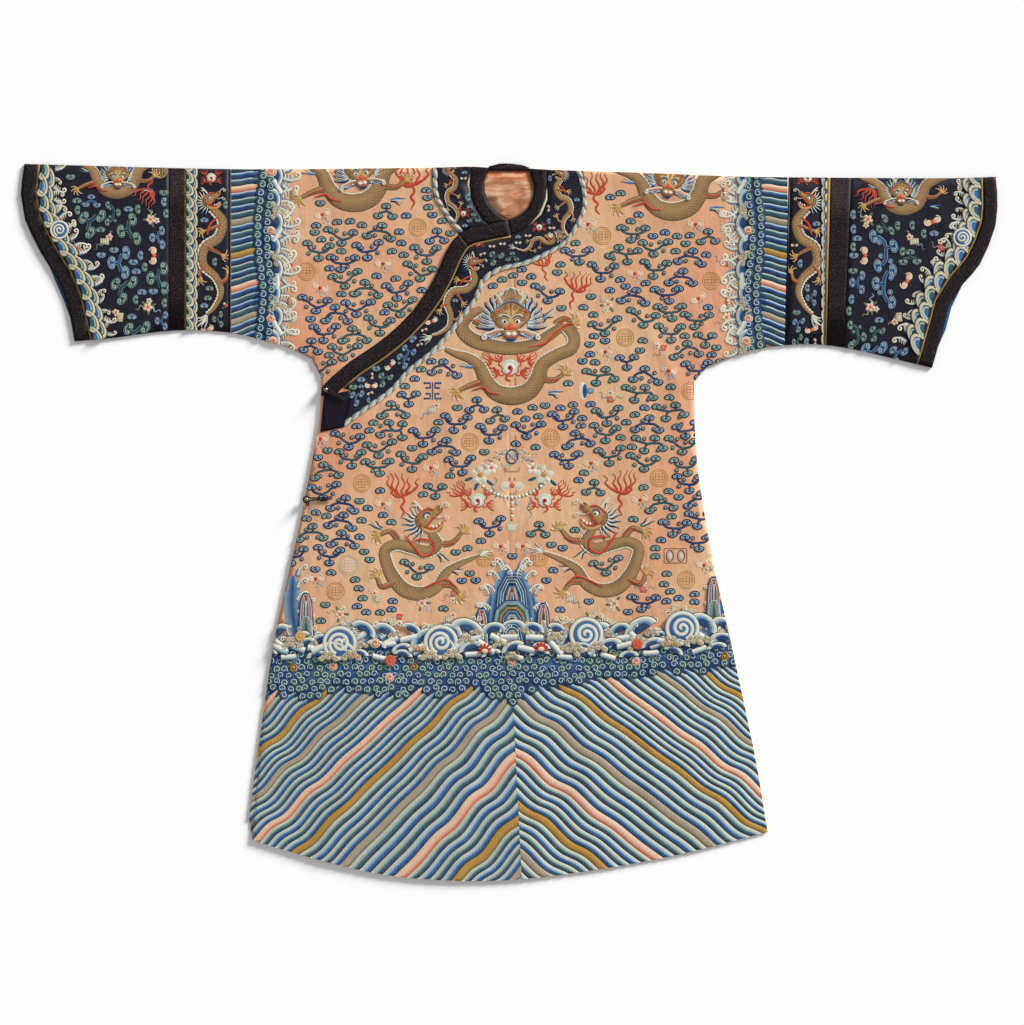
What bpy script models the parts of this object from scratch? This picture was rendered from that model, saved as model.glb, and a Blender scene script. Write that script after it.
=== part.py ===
"""Chinese dragon robe laid flat, front up: silk panels, navy collar and sleeve bands, black
brocade edging and cord frogs.

The frame is in metres with +Z up. The origin is the middle of the robe's box on the surface it
lies on: X runs along the sleeves, Y from the hem to the neck, Z through the layers.
Everything below is worked out in millimetres and becomes metres in the meshes.
"""

import bpy
import bmesh
from math import atan2, cos, exp, hypot, pi, radians, sin
from mathutils import Vector
from mathutils.geometry import delaunay_2d_cdt

MM = 0.001

# Driving dimensions, mm.
WALL = 1.2            # silk with its lining
TRIM_WALL = 1.6       # brocade bands and edging
COLLAR_WALL = 1.0     # navy collar panel
LAYER_GAP = 0.4       # between layers that lie on each other
LAID_GAP = 0.3        # under a piece sewn on a panel
SEAM_INSET = 0.15     # each side of a seam
FOLD_WALL = 2.4       # cloth across a shoulder fold or a sewn side
BAND = 30.0           # overlap band
CUFF_EDGE = 28.0      # brocade edging of the cuff
CUFF_PIPING = 4.0
NECK_PIPING = 3.5
SAMPLE = 34.0         # spacing of points along an edge
NECK_SAMPLE = 20.0    # and round the neck
RING_SAMPLE = 22.0
RIM_SAMPLE = 16.0
LATTICE = 58.0        # spacing of points inside a panel
ROW_SHARE = 0.866     # height of a row of equal triangles
CLEAR = 24.0          # no inner point lies nearer than this to an edge
REACH = 60.0          # how far a seam line runs past the outline before it is trimmed
STEP_START = 15.0     # the front settles from three layers to two from here, over this width
STEP_WIDTH = 110.0
UNDER_SHARE = 0.6     # how much of a swell the under front takes up
CUFF_LOFT = 2.4       # how much the sleeve's mouth stands open
LOFT_START = 620.0    # it opens from here, over this width
LOFT_WIDTH = 200.0
RIM_WALL = 4.0        # neck band where it stands behind the opening
LINING_SHOWS = 6.0    # blue lining past the edging of the cuff, at its widest
LINING_TUCK = 20.0    # lining inside the cuff
CRESCENT = 6.0        # cream piping beside the neck band, at its widest
VENT_TOP = -112.0     # side seams are sewn down to here
SEAM_TOP = 730.0      # sleeve seams run between these and are trimmed at the outline
SEAM_BOTTOM = 290.0
CORD_RADIUS = 1.5
TOGGLE_RADIUS = 4.2
TOGGLE_SQUASH = 0.8   # the knot is a little flat

# Sleeve mouth, from the shoulder fold down: name, left x, left y, right x, right y.
CUFF = (
    ("top corner", -947, 699, 949, 674),
    ("bulge", -954, 640, 952, 645),
    ("belly", -946, 591, 949, 579),
    ("bend", -915, 526, 918, 503),
    ("waist", -883, 475, 885, 464),
    ("flare", -866, 436, 858, 421),
    ("low", -857, 397, 847, 378),
    ("low corner", -849, 353, 825, 301),
)
# Underarm edge, from the sleeve mouth to the armpit, in the same columns.
UNDERARM = (
    ("low corner", -849, 353, 825, 301),
    ("cuff", -769, 360, 746, 320),
    ("ribbon", -690, 371, 668, 338),
    ("strip", -620, 375, 600, 347),
    ("body seam", -546, 370, 535, 345),
    ("turn", -490, 357, 472, 335),
    ("curve", -432, 341, 425, 319),
    ("gusset", -386, 319, 384, 302),
    ("armpit", -367, 282, 360, 272),
)
# Side edge, from the armpit to the hem, in the same columns.
SIDE = (
    ("armpit", -367, 282, 360, 272),
    ("chest", -370, 205, 361, 205),
    ("waist", -388, 105, 367, 108),
    ("hip", -413, -21, 384, -5),
    ("vent", -434, -113, 404, -108),
    ("skirt", -457, -230, 433, -238),
    ("knee", -483, -430, 478, -450),
    ("hem corner", -502, -621, 504, -605),
)
# Shoulder fold from left to right, hem of the outer front, hem of the under front: x, y.
SHOULDER = ((-947, 699), (-546, 689), (-210, 691), (-72, 694), (-41, 692), (38, 690), (69, 688),
            (279, 681), (427, 675), (546, 673), (851, 671), (949, 674))
HEM = ((-502, -621), (-388, -655), (-247, -688), (-108, -700), (24, -697), (181, -677),
       (331, -649), (504, -605))
UNDER_SIDE = ((-434, -113), (-459, -230), (-489, -430), (-509, -579))
UNDER_HEM = ((-509, -579), (-388, -625), (-247, -658), (-108, -670), (23, -667))
CENTRE_SEAM = ((-3, 730), (-3, 588.5), (3, 500), (5, 0), (6, -330), (23, -667), (24, -697),
               (26, -740))

# Seams round the sleeves, from the body outwards: name, left top x, left bottom x,
# right top x, right bottom x.
SLEEVE_SEAMS = (
    ("cord inner", -545.0, -545.0, 546.0, 536.0),
    ("cord outer", -548.5, -548.5, 549.5, 539.5),
    ("piping inner", -630.5, -630.5, 622.0, 611.5),
    ("piping outer", -634.5, -634.5, 628.0, 617.5),
    ("ribbon outer", -665.5, -665.5, 669.5, 652.0),
)

# Neck opening: both sides start at the tip in front and end at the shoulder.
OPENING_LEFT = ((-3, 588.5), (-26, 604), (-42, 624), (-50, 645), (-50, 668), (-41, 686), (-41, 712))
OPENING_RIGHT = ((-3, 588.5), (17, 597), (36, 611), (46, 632), (48, 655), (42, 674), (38, 686),
                 (38, 712))
# Outer edge of the neck band on each side, from above the shoulder down.
RING_LEFT = ((-70, 712), (-76, 684), (-78, 659), (-75, 636), (-66, 612), (-52, 590), (-40, 581))
RING_RIGHT = ((68, 712), (72, 684), (73, 658), (69, 631), (58, 603), (38, 578), (3.0, 559.1))
# Free edge of the overlap, from the tip of the neck opening to the side.
OVERLAP_EDGE = ((-3, 588.5), (-40, 581), (-77, 573), (-99, 562), (-112, 548), (-126, 523),
                (-141, 488), (-159, 454), (-187, 414), (-216, 384), (-261, 347), (-312, 313),
                (-345, 285), (-367, 262))
MITRE = (-99, 562)
# The back of the neck band, which stands up behind the opening.
NECK_RIM = ((-41, 686), (-41, 694), (-20, 699.5), (5, 699.5), (25, 697), (38, 692), (38, 686))
# Outer border of the navy collar, from the right shoulder to the closing, and of its left part.
COLLAR_BORDER = ((138, 712), (150, 650), (151, 612), (134, 573), (112, 542), (81, 523), (32, 501),
                 (-20, 489), (-49, 468), (-60, 436), (-79, 410), (-118, 360), (-150, 326),
                 (-193, 292), (-226, 255), (-271, 222), (-323, 185))
UNDER_BORDER = ((-151, 712), (-149, 636), (-127, 597), (-99, 562))
PATCH = ((-362, 247), (-309, 257), (-323, 185), (-369, 175))

# Soft swells where the layers lift: name, x, y, direction in degrees, length, width, height.
FOLDS = (
    ("left armpit", -335, 300, 125, 130, 42, 3.0),
    ("right armpit", 330, 290, 58, 130, 42, 2.8),
    ("left waist", -300, 40, 80, 230, 60, 2.2),
    ("right waist", 285, 20, 98, 240, 60, 2.0),
    ("left skirt", -300, -420, 78, 260, 70, 2.6),
    ("left middle skirt", -130, -470, 84, 220, 65, 2.0),
    ("right middle skirt", 150, -450, 96, 240, 65, 2.2),
    ("right skirt", 330, -430, 104, 240, 70, 2.4),
    ("chest", 90, 300, 15, 200, 70, 1.8),
    ("left sleeve", -700, 560, 170, 160, 60, 1.6),
    ("right sleeve", 700, 540, 10, 160, 60, 1.6),
)

# Cord frogs: name, button x, y, end of the loop x, y.
FROGS = (
    ("1", -358, 258, -320, 238),
    ("2", -396, 44, -346, 47),
)


def clear_scene():
    for obj in list(bpy.data.objects):
        bpy.data.objects.remove(obj, do_unlink=True)


def make_material(name, colour, roughness, metallic=0.0):
    material = bpy.data.materials.new(name)
    material.use_nodes = True
    shader = material.node_tree.nodes["Principled BSDF"]
    shader.inputs["Base Color"].default_value = (*colour, 1.0)
    shader.inputs["Roughness"].default_value = roughness
    shader.inputs["Metallic"].default_value = metallic
    return material


def make_materials():
    return {
        "apricot": make_material("Apricot silk", (0.80, 0.45, 0.28), 0.55),
        "navy": make_material("Navy silk", (0.022, 0.018, 0.045), 0.5),
        "brocade": make_material("Black brocade", (0.025, 0.018, 0.02), 0.6),
        "satin": make_material("Navy satin", (0.015, 0.013, 0.035), 0.35),
        "gold": make_material("Gold piping", (0.45, 0.30, 0.10), 0.5),
        "cream": make_material("Cream piping", (0.66, 0.60, 0.46), 0.5),
        "blue": make_material("Blue lining", (0.06, 0.16, 0.30), 0.5),
        "cord": make_material("Black cord", (0.015, 0.012, 0.014), 0.5),
        "brass": make_material("Dull brass", (0.20, 0.17, 0.12), 0.35, 0.9),
    }


# Curves in the plane


def smooth(points, spacing=SAMPLE):
    """A rounded curve through the points, with a point about every spacing, corners at its ends."""
    points = [Vector(p) for p in points]
    padded = [2 * points[0] - points[1], *points, 2 * points[-1] - points[-2]]
    curve = [points[0]]
    for a, b, c, d in zip(padded, padded[1:], padded[2:], padded[3:]):
        steps = max(1, round((c - b).length / spacing))
        for i in range(1, steps + 1):
            t = i / steps
            curve.append(0.5 * ((2 * b) + (c - a) * t + (2 * a - 5 * b + 4 * c - d) * t * t
                                + (3 * b - a - 3 * c + d) * t * t * t))
    return curve


def offset(curve, distance):
    """The curve moved to its left by distance, which may be a function of the place along it."""
    moved = []
    last = len(curve) - 1
    for i, point in enumerate(curve):
        along = (curve[min(i + 1, last)] - curve[max(i - 1, 0)]).normalized()
        step = distance(i / last) if callable(distance) else distance
        moved.append(point + step * Vector((-along.y, along.x)))
    return moved


def extended(curve):
    first = curve[0] + REACH * (curve[0] - curve[1]).normalized()
    last = curve[-1] + REACH * (curve[-1] - curve[-2]).normalized()
    return [first, *curve, last]


def column_pair(rows, side):
    """The x and y columns of one side of a table."""
    return [(row[1], row[2]) if side == "l" else (row[3], row[4]) for row in rows]


def inside(polygon, x, y):
    odd = False
    for a, b in zip(polygon, polygon[1:] + polygon[:1]):
        if (a.y > y) != (b.y > y) and x < (b.x - a.x) * (y - a.y) / (b.y - a.y) + a.x:
            odd = not odd
    return odd


def between(curve, a, b):
    """The stretch of a curve from its point nearest a to its point nearest b."""
    first = min(range(len(curve)), key=lambda i: (curve[i] - a).length)
    last = min(range(len(curve)), key=lambda i: (curve[i] - b).length)
    return curve[first:last + 1] if first <= last else curve[last:first + 1][::-1]


# Heights of the layers


def eased(t):
    t = min(1.0, max(0.0, t))
    return t * t * (3 - 2 * t)


def swell(x, y):
    """How far the folds and the loft of the sleeve mouths lift the front, mm."""
    height = CUFF_LOFT * eased((abs(x) - LOFT_START) / LOFT_WIDTH)
    for _, fold_x, fold_y, direction, length, width, top in FOLDS:
        turn = radians(direction)
        along = (x - fold_x) * cos(turn) + (y - fold_y) * sin(turn)
        across = (y - fold_y) * cos(turn) - (x - fold_x) * sin(turn)
        height += top * exp(-(along / length) ** 2 - (across / width) ** 2)
    return height


def under_low(x, y):
    return WALL + LAYER_GAP + UNDER_SHARE * swell(x, y)


def front_low(x, y):
    """Underside of the outer front: over the under front on the left, near the back on the right."""
    settled = eased((x - STEP_START) / STEP_WIDTH)
    return WALL + LAYER_GAP + swell(x, y) + (1 - settled) * (WALL + LAYER_GAP)


def raised(surface, by):
    return lambda x, y: surface(x, y) + by


def flat(height):
    return lambda x, y: height


# Solids from the shared net of triangles


class Net:
    """One net of triangles over the whole robe, cut along every edge and seam."""

    def __init__(self, curves, outline):
        points, edges = [], []
        for curve in curves:
            start = len(points)
            points += [Vector((p.x, p.y)) for p in curve]
            edges += [(start + i, start + i + 1) for i in range(len(curve) - 1)]
        borders = [(points[a], points[b]) for a, b in edges]
        for inner in lattice(outline):
            if all(gap_to(inner, a, b) > CLEAR for a, b in borders):
                points.append(inner)
        found = delaunay_2d_cdt(points, edges, [], 0, 0.5)
        self.points = [Vector(p) for p in found[0]]
        self.triangles = [tuple(face) for face in found[2]]

    def where(self, test):
        """Triangles whose middle passes the test."""
        kept = []
        for triangle in self.triangles:
            middle = sum((self.points[i] for i in triangle), Vector((0, 0))) / 3
            if test(middle.x, middle.y):
                kept.append(triangle)
        return kept


def lattice(outline):
    low_x = min(p.x for p in outline)
    high_x = max(p.x for p in outline)
    low_y = min(p.y for p in outline)
    high_y = max(p.y for p in outline)
    row = 0
    y = low_y
    while y < high_y:
        x = low_x + (row % 2) * LATTICE / 2
        while x < high_x:
            if inside(outline, x, y):
                yield Vector((x, y))
            x += LATTICE
        y += LATTICE * ROW_SHARE
        row += 1


def gap_to(point, a, b):
    span = b - a
    t = min(1.0, max(0.0, (point - a).dot(span) / max(span.length_squared, 1e-9)))
    return (point - a - t * span).length


def boundary(triangles):
    """The directed border edges of some triangles, anticlockwise round them."""
    edges = {(t[i], t[(i + 1) % 3]) for t in triangles for i in range(3)}
    return [(a, b) for a, b in edges if (b, a) not in edges]


def inset_places(net, border, distance_of):
    """Each border point moved into the panel, by its own distance from each of its two edges."""
    before = {b: (a, b) for a, b in border}
    after = {a: (a, b) for a, b in border}
    places = {}
    for point in after:
        normals, distances = [], []
        for edge in (before[point], after[point]):
            span = (net.points[edge[1]] - net.points[edge[0]]).normalized()
            normals.append(Vector((-span.y, span.x)))
            distances.append(distance_of(edge))
        (n, m), (d, e) = normals, distances
        cross = n.x * m.y - n.y * m.x
        if abs(cross) > 0.2:
            shift = Vector(((d * m.y - e * n.y) / cross, (e * n.x - d * m.x) / cross))
        else:
            shift = (n + m).normalized() * max(d, e)
        places[point] = net.points[point] + shift
    return places


def add_slab_face(mesh, corners):
    if len(set(corners)) == len(corners):
        mesh.faces.new(corners)


def layer_vertices(mesh, net, triangles, places, surface):
    made = {}
    for index in {i for triangle in triangles for i in triangle}:
        place = places.get(index, net.points[index])
        height = surface(net.points[index].x, net.points[index].y)
        made[index] = mesh.verts.new((place.x * MM, place.y * MM, height * MM))
    return made


def finish_object(mesh, name, material):
    data = bpy.data.meshes.new(name)
    bmesh.ops.recalc_face_normals(mesh, faces=mesh.faces)
    mesh.to_mesh(data)
    mesh.free()
    data.materials.append(material)
    obj = bpy.data.objects.new(name, data)
    bpy.context.collection.objects.link(obj)
    return obj


def sheet(net, name, material, triangles, low, wall):
    """A panel of cloth: its underside follows low, and its top lies a wall above."""
    border = boundary(triangles)
    places = inset_places(net, border, lambda edge: SEAM_INSET)
    mesh = bmesh.new()
    bottom = layer_vertices(mesh, net, triangles, places, low)
    top = layer_vertices(mesh, net, triangles, places, raised(low, wall))
    for a, b, c in triangles:
        mesh.faces.new((top[a], top[b], top[c]))
        mesh.faces.new((bottom[c], bottom[b], bottom[a]))
    for a, b in border:
        mesh.faces.new((bottom[a], bottom[b], top[b], top[a]))
    return finish_object(mesh, name, material)


def folded_sheet(net, name, material, back, front, front_bottom, wall, is_joined):
    """Back and front in one piece, joined over the shoulder fold and down the sewn sides."""
    borders = {"back": boundary(back), "front": boundary(front)}
    shared = set(borders["back"]) & set(borders["front"])
    joined = {edge for edge in shared if is_joined((net.points[edge[0]] + net.points[edge[1]]) / 2)}
    mesh = bmesh.new()
    surfaces = {
        "back": (flat(0.0), flat(wall)),
        "front": (raised(front_bottom, wall), front_bottom),
    }
    panels = {"back": back, "front": front}
    layers = {}
    for side, (outer, inner) in surfaces.items():
        outer_places = inset_places(net, borders[side],
                                    lambda edge: 0.0 if edge in joined else SEAM_INSET)
        inner_places = inset_places(net, borders[side],
                                    lambda edge: FOLD_WALL if edge in joined else SEAM_INSET)
        layers[side] = (layer_vertices(mesh, net, panels[side], outer_places, outer),
                        layer_vertices(mesh, net, panels[side], inner_places, inner))
    for side, (outer, inner) in layers.items():
        for a, b, c in panels[side]:
            mesh.faces.new((outer[a], outer[b], outer[c]))
            mesh.faces.new((inner[c], inner[b], inner[a]))
        for a, b in borders[side]:
            if (a, b) not in joined:
                mesh.faces.new((outer[a], outer[b], inner[b], inner[a]))
    (back_outer, back_inner), (front_outer, front_inner) = layers["back"], layers["front"]
    starts = {a for a, b in joined}
    ends = {b for a, b in joined}
    for a, b in joined:
        mesh.faces.new((back_outer[a], back_outer[b], front_outer[b], front_outer[a]))
        mesh.faces.new((back_inner[a], back_inner[b], front_inner[b], front_inner[a]))
    for point in starts ^ ends:
        add_slab_face(mesh, (back_outer[point], back_inner[point],
                             front_inner[point], front_outer[point]))
    return finish_object(mesh, name, material)


# Cord frogs


def cord_tube(name, material, path, radius):
    """A cord as a closed tube along the path, mm."""
    curve = bpy.data.curves.new(name, "CURVE")
    curve.dimensions = "3D"
    curve.bevel_depth = radius * MM
    curve.bevel_resolution = 2
    curve.use_fill_caps = True
    spline = curve.splines.new("POLY")
    spline.points.add(len(path) - 1)
    for point, place in zip(spline.points, path):
        point.co = (place.x * MM, place.y * MM, place.z * MM, 1.0)
    curve.materials.append(material)
    obj = bpy.data.objects.new(name, curve)
    bpy.context.collection.objects.link(obj)
    return obj


def button_knot(name, material, x, y, z):
    """The round knot of a frog, a small flattened ball."""
    mesh = bmesh.new()
    bmesh.ops.create_uvsphere(mesh, u_segments=16, v_segments=10, radius=TOGGLE_RADIUS * MM)
    bmesh.ops.scale(mesh, verts=mesh.verts, vec=(1.0, 1.0, TOGGLE_SQUASH))
    bmesh.ops.translate(mesh, verts=mesh.verts, vec=(x * MM, y * MM, z * MM))
    obj = finish_object(mesh, name, material)
    obj.data.shade_smooth()
    return obj


def make_frog(materials, number, button_x, button_y, end_x, end_y, surface):
    """A knot with the two strands of its loop drawn round it and laid along the cloth."""
    direction = atan2(end_y - button_y, end_x - button_x)
    length = hypot(end_x - button_x, end_y - button_y)
    rest = max(surface(button_x + t * (end_x - button_x), button_y + t * (end_y - button_y))
               for t in (0.0, 0.25, 0.5, 0.75, 1.0)) + 2 * LAID_GAP
    button_knot(f"toggle_{number}", materials["brass"], button_x, button_y,
                rest + TOGGLE_SQUASH * TOGGLE_RADIUS)
    ring = TOGGLE_RADIUS + CORD_RADIUS + LAID_GAP
    strand = CORD_RADIUS + LAID_GAP
    height = rest + CORD_RADIUS
    local = [(length, strand), (0.5 * length, strand), (ring + 4, strand)]
    for step in range(11):
        angle = radians(40 + 28 * step)
        local.append((ring * cos(angle), ring * sin(angle)))
    local += [(ring + 4, -strand), (0.5 * length, -strand), (length, -strand)]
    path = [Vector((button_x + u * cos(direction) - v * sin(direction),
                    button_y + u * sin(direction) + v * cos(direction), height))
            for u, v in local]
    cord_tube(f"loop_{number}", materials["cord"], path, CORD_RADIUS)


# The robe


def sleeve_seam(row, side):
    top, bottom = (row[1], row[2]) if side == "l" else (row[3], row[4])
    return [Vector((top, SEAM_TOP)), Vector((bottom, SEAM_BOTTOM))]


def seam_x(line, y):
    (top_x, top_y), (bottom_x, bottom_y) = line
    return top_x + (bottom_x - top_x) * (top_y - y) / (top_y - bottom_y)


def curve_x(curve, y):
    """Where a curve that runs down the robe stands at a height y."""
    for a, b in zip(curve, curve[1:]):
        if b.y <= y <= a.y:
            return a.x + (b.x - a.x) * (a.y - y) / (a.y - b.y)
    return curve[0].x if y > curve[0].y else curve[-1].x


def curve_y(curve, x):
    """The height of a curve that runs from left to right, at a place x."""
    for a, b in zip(curve, curve[1:]):
        if a.x <= x <= b.x:
            return a.y + (b.y - a.y) * (x - a.x) / (b.x - a.x)
    return curve[0].y if x < curve[0].x else curve[-1].y


def crescent(curve, width):
    """The strip beside a stretch of curve that is widest at its middle."""
    return curve + offset(curve, lambda t: width * sin(pi * t))[1:-1][::-1]


class Robe:
    """The robe's edges and seams in the plane, and the net of triangles cut along them."""

    def __init__(self):
        self.shoulder = smooth(SHOULDER)
        self.cuff = {side: smooth(column_pair(CUFF, side)) for side in "lr"}
        self.underarm = {side: smooth(column_pair(UNDERARM, side)) for side in "lr"}
        self.side = {side: smooth(column_pair(SIDE, side)) for side in "lr"}
        self.hem = smooth(HEM)
        self.outline = (self.shoulder + self.cuff["r"][1:] + self.underarm["r"][1:]
                        + self.side["r"][1:] + self.hem[::-1][1:] + self.side["l"][::-1][1:]
                        + self.underarm["l"][::-1][1:] + self.cuff["l"][::-1][1:-1])
        self.centre = smooth(CENTRE_SEAM)
        self.cut_body()
        self.cut_sleeves()
        self.cut_neck()
        loops = [self.outline, self.hole, self.rim, self.ring_r, self.ring_l, self.band_upper,
                 self.band_lower, self.piping, self.patch, *self.crescents, *self.cuff_linings]
        lines = [self.centre, self.under_side, self.under_hem, self.overlap, self.collar,
                 self.under_collar, *self.inner_cuff.values(), *self.cuff_stitch.values(),
                 *(line for seams in self.seams.values() for line in seams.values())]
        self.net = Net([loop + loop[:1] for loop in loops] + lines, self.outline)

    def cut_body(self):
        self.under_side = smooth(UNDER_SIDE)
        self.under_hem = smooth(UNDER_HEM)
        self.under_sliver = self.under_side + between(self.side["l"], self.hem[0],
                                                      self.under_side[0])
        self.overlap = smooth(OVERLAP_EDGE)
        beyond = self.overlap[-1] + REACH * (self.overlap[-1] - self.overlap[-2]).normalized()
        self.overlap.append(beyond)
        foot = self.centre[-1]
        self.overlap_outline = (self.overlap + [Vector((-600, beyond.y)), Vector((-600, foot.y))]
                                + between(self.centre, foot, self.overlap[0]))

    def cut_sleeves(self):
        self.seams = {side: {row[0]: sleeve_seam(row, side) for row in SLEEVE_SEAMS}
                      for side in "lr"}
        self.inner_cuff, self.cuff_stitch, self.edging, self.cuff_piping = {}, {}, {}, {}
        self.cuff_linings = []
        for side, inward in (("l", 1), ("r", -1)):
            cuff = self.cuff[side]
            edge = offset(cuff, inward * CUFF_EDGE)
            stitch = offset(cuff, inward * (CUFF_EDGE + CUFF_PIPING))
            self.inner_cuff[side] = extended(edge[1:-1])
            self.cuff_stitch[side] = extended(stitch[1:-1])
            self.edging[side] = extended(cuff) + self.inner_cuff[side][::-1]
            self.cuff_piping[side] = self.inner_cuff[side] + self.cuff_stitch[side][::-1]
            shown = self.cuff[side][-5:-1]
            tucked = offset(shown, inward * LINING_TUCK)
            outer = offset(shown, lambda t, inward=inward: -inward * LINING_SHOWS * sin(pi * t))
            self.cuff_linings.append(outer + tucked[::-1])

    def cut_neck(self):
        opening_l, opening_r = smooth(OPENING_LEFT, NECK_SAMPLE), smooth(OPENING_RIGHT, NECK_SAMPLE)
        ring_l, ring_r = smooth(RING_LEFT, RING_SAMPLE), smooth(RING_RIGHT, RING_SAMPLE)
        self.hole = opening_l + opening_r[::-1][:-1]
        self.rim = smooth(NECK_RIM[1:6], RIM_SAMPLE)
        self.rim = [Vector(NECK_RIM[0]), *self.rim, Vector(NECK_RIM[6])]
        self.ring_l = opening_l + ring_l
        self.ring_r = opening_r + ring_r
        band_edge = offset(self.overlap, BAND)
        piping_edge = offset(self.overlap, BAND + NECK_PIPING)
        fold = min(range(len(self.overlap)), key=lambda i: (self.overlap[i] - Vector(MITRE)).length)
        self.band_upper = self.overlap[:fold + 1] + band_edge[:fold + 1][::-1]
        self.band_lower = self.overlap[fold:] + band_edge[fold:][::-1]
        self.patch = [Vector(p) for p in PATCH]
        last = min(range(len(band_edge)), key=lambda i: (band_edge[i] - self.patch[1]).length)
        self.piping = band_edge[:last + 1] + piping_edge[:last + 1][::-1]
        self.collar = smooth(COLLAR_BORDER)
        self.under_collar = smooth(UNDER_BORDER)
        self.collar_outline = (ring_r + band_edge[1:last + 1] + self.patch[1:3]
                               + self.collar[::-1][1:])
        self.under_collar_outline = (self.under_collar
                                     + between(self.overlap, self.under_collar[-1], ring_l[-1])
                                     + ring_l[::-1])
        self.crescents = [crescent(ring_l[1:4], -CRESCENT), crescent(ring_r[2:6], CRESCENT)]

    def on_sewn_edge(self, point):
        """Whether back and front are joined here: the shoulder fold and the sewn sides."""
        if point.y < VENT_TOP:
            return False
        sewn = [self.shoulder, *self.underarm.values(), *self.side.values()]
        return any(gap_to(point, a, b) < 1.0 for curve in sewn for a, b in zip(curve, curve[1:]))

    def region(self, test):
        return self.net.where(lambda x, y: inside(self.outline, x, y) and test(x, y))

    def in_sleeve(self, side, inner, outer, x, y):
        """Whether a place lies between two of the sleeve's seams; None stands for no seam."""
        sign = -1 if side == "l" else 1
        reach = sign * x
        past = inner is None or reach > sign * seam_x(self.seams[side][inner], y)
        short = outer is None or reach < sign * seam_x(self.seams[side][outer], y)
        return past and short


def make_body(robe, materials):
    silk = materials["apricot"]

    def on_right(x, y):
        return x > curve_x(robe.centre, y) and robe.in_sleeve("r", None, "cord inner", x, y)

    def on_left(x, y):
        return ((inside(robe.outline, x, y) or inside(robe.under_sliver, x, y))
                and x < curve_x(robe.centre, y)
                and robe.in_sleeve("l", None, "cord inner", x, y))

    def above_under_hem(x, y):
        return y > curve_y(robe.under_hem, x)

    def in_hole(x, y):
        return inside(robe.hole, x, y)

    folded_sheet(robe.net, "body_r", silk, robe.region(on_right),
                 robe.region(lambda x, y: on_right(x, y) and not in_hole(x, y)),
                 front_low, WALL, robe.on_sewn_edge)
    folded_sheet(robe.net, "body_l", silk, robe.net.where(on_left),
                 robe.net.where(lambda x, y: (on_left(x, y) and above_under_hem(x, y)
                                              and not in_hole(x, y))),
                 under_low, WALL, robe.on_sewn_edge)
    sheet(robe.net, "overlap_front", silk,
          robe.region(lambda x, y: inside(robe.overlap_outline, x, y)), front_low, WALL)
    sheet(robe.net, "back_lining", silk,
          robe.region(lambda x, y: in_hole(x, y) and not inside(robe.rim, x, y)),
          flat(WALL + LAYER_GAP), WALL)


def make_sleeves(robe, materials):
    bands = (
        ("sleeve_cord", "satin", "cord inner", "cord outer", TRIM_WALL),
        ("sleeve_strip", "navy", "cord outer", "piping inner", WALL),
        ("sleeve_piping", "gold", "piping inner", "piping outer", TRIM_WALL),
        ("sleeve_ribbon", "brocade", "piping outer", "ribbon outer", WALL),
    )

    def tube(name, side, material, test, wall):
        triangles = robe.region(test)
        folded_sheet(robe.net, f"{name}_{side}", materials[material], triangles, triangles,
                     under_low, wall, robe.on_sewn_edge)

    for side in "lr":
        for name, material, inner, outer, wall in bands:
            tube(name, side, material,
                 lambda x, y: robe.in_sleeve(side, inner, outer, x, y), wall)
        mouth = robe.edging[side]
        piping = robe.cuff_piping[side]
        tube("cuff_panel", side, "navy",
             lambda x, y: (robe.in_sleeve(side, "ribbon outer", None, x, y)
                           and not inside(mouth, x, y) and not inside(piping, x, y)), WALL)
        tube("cuff_piping", side, "gold", lambda x, y: inside(piping, x, y), TRIM_WALL)
        tube("cuff_edging", side, "brocade", lambda x, y: inside(mouth, x, y), WALL)
    for side, lining in zip("lr", robe.cuff_linings):
        sheet(robe.net, f"cuff_lining_{side}", materials["blue"],
              robe.net.where(lambda x, y: inside(lining, x, y)),
              flat(WALL + LAID_GAP), COLLAR_WALL)


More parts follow.
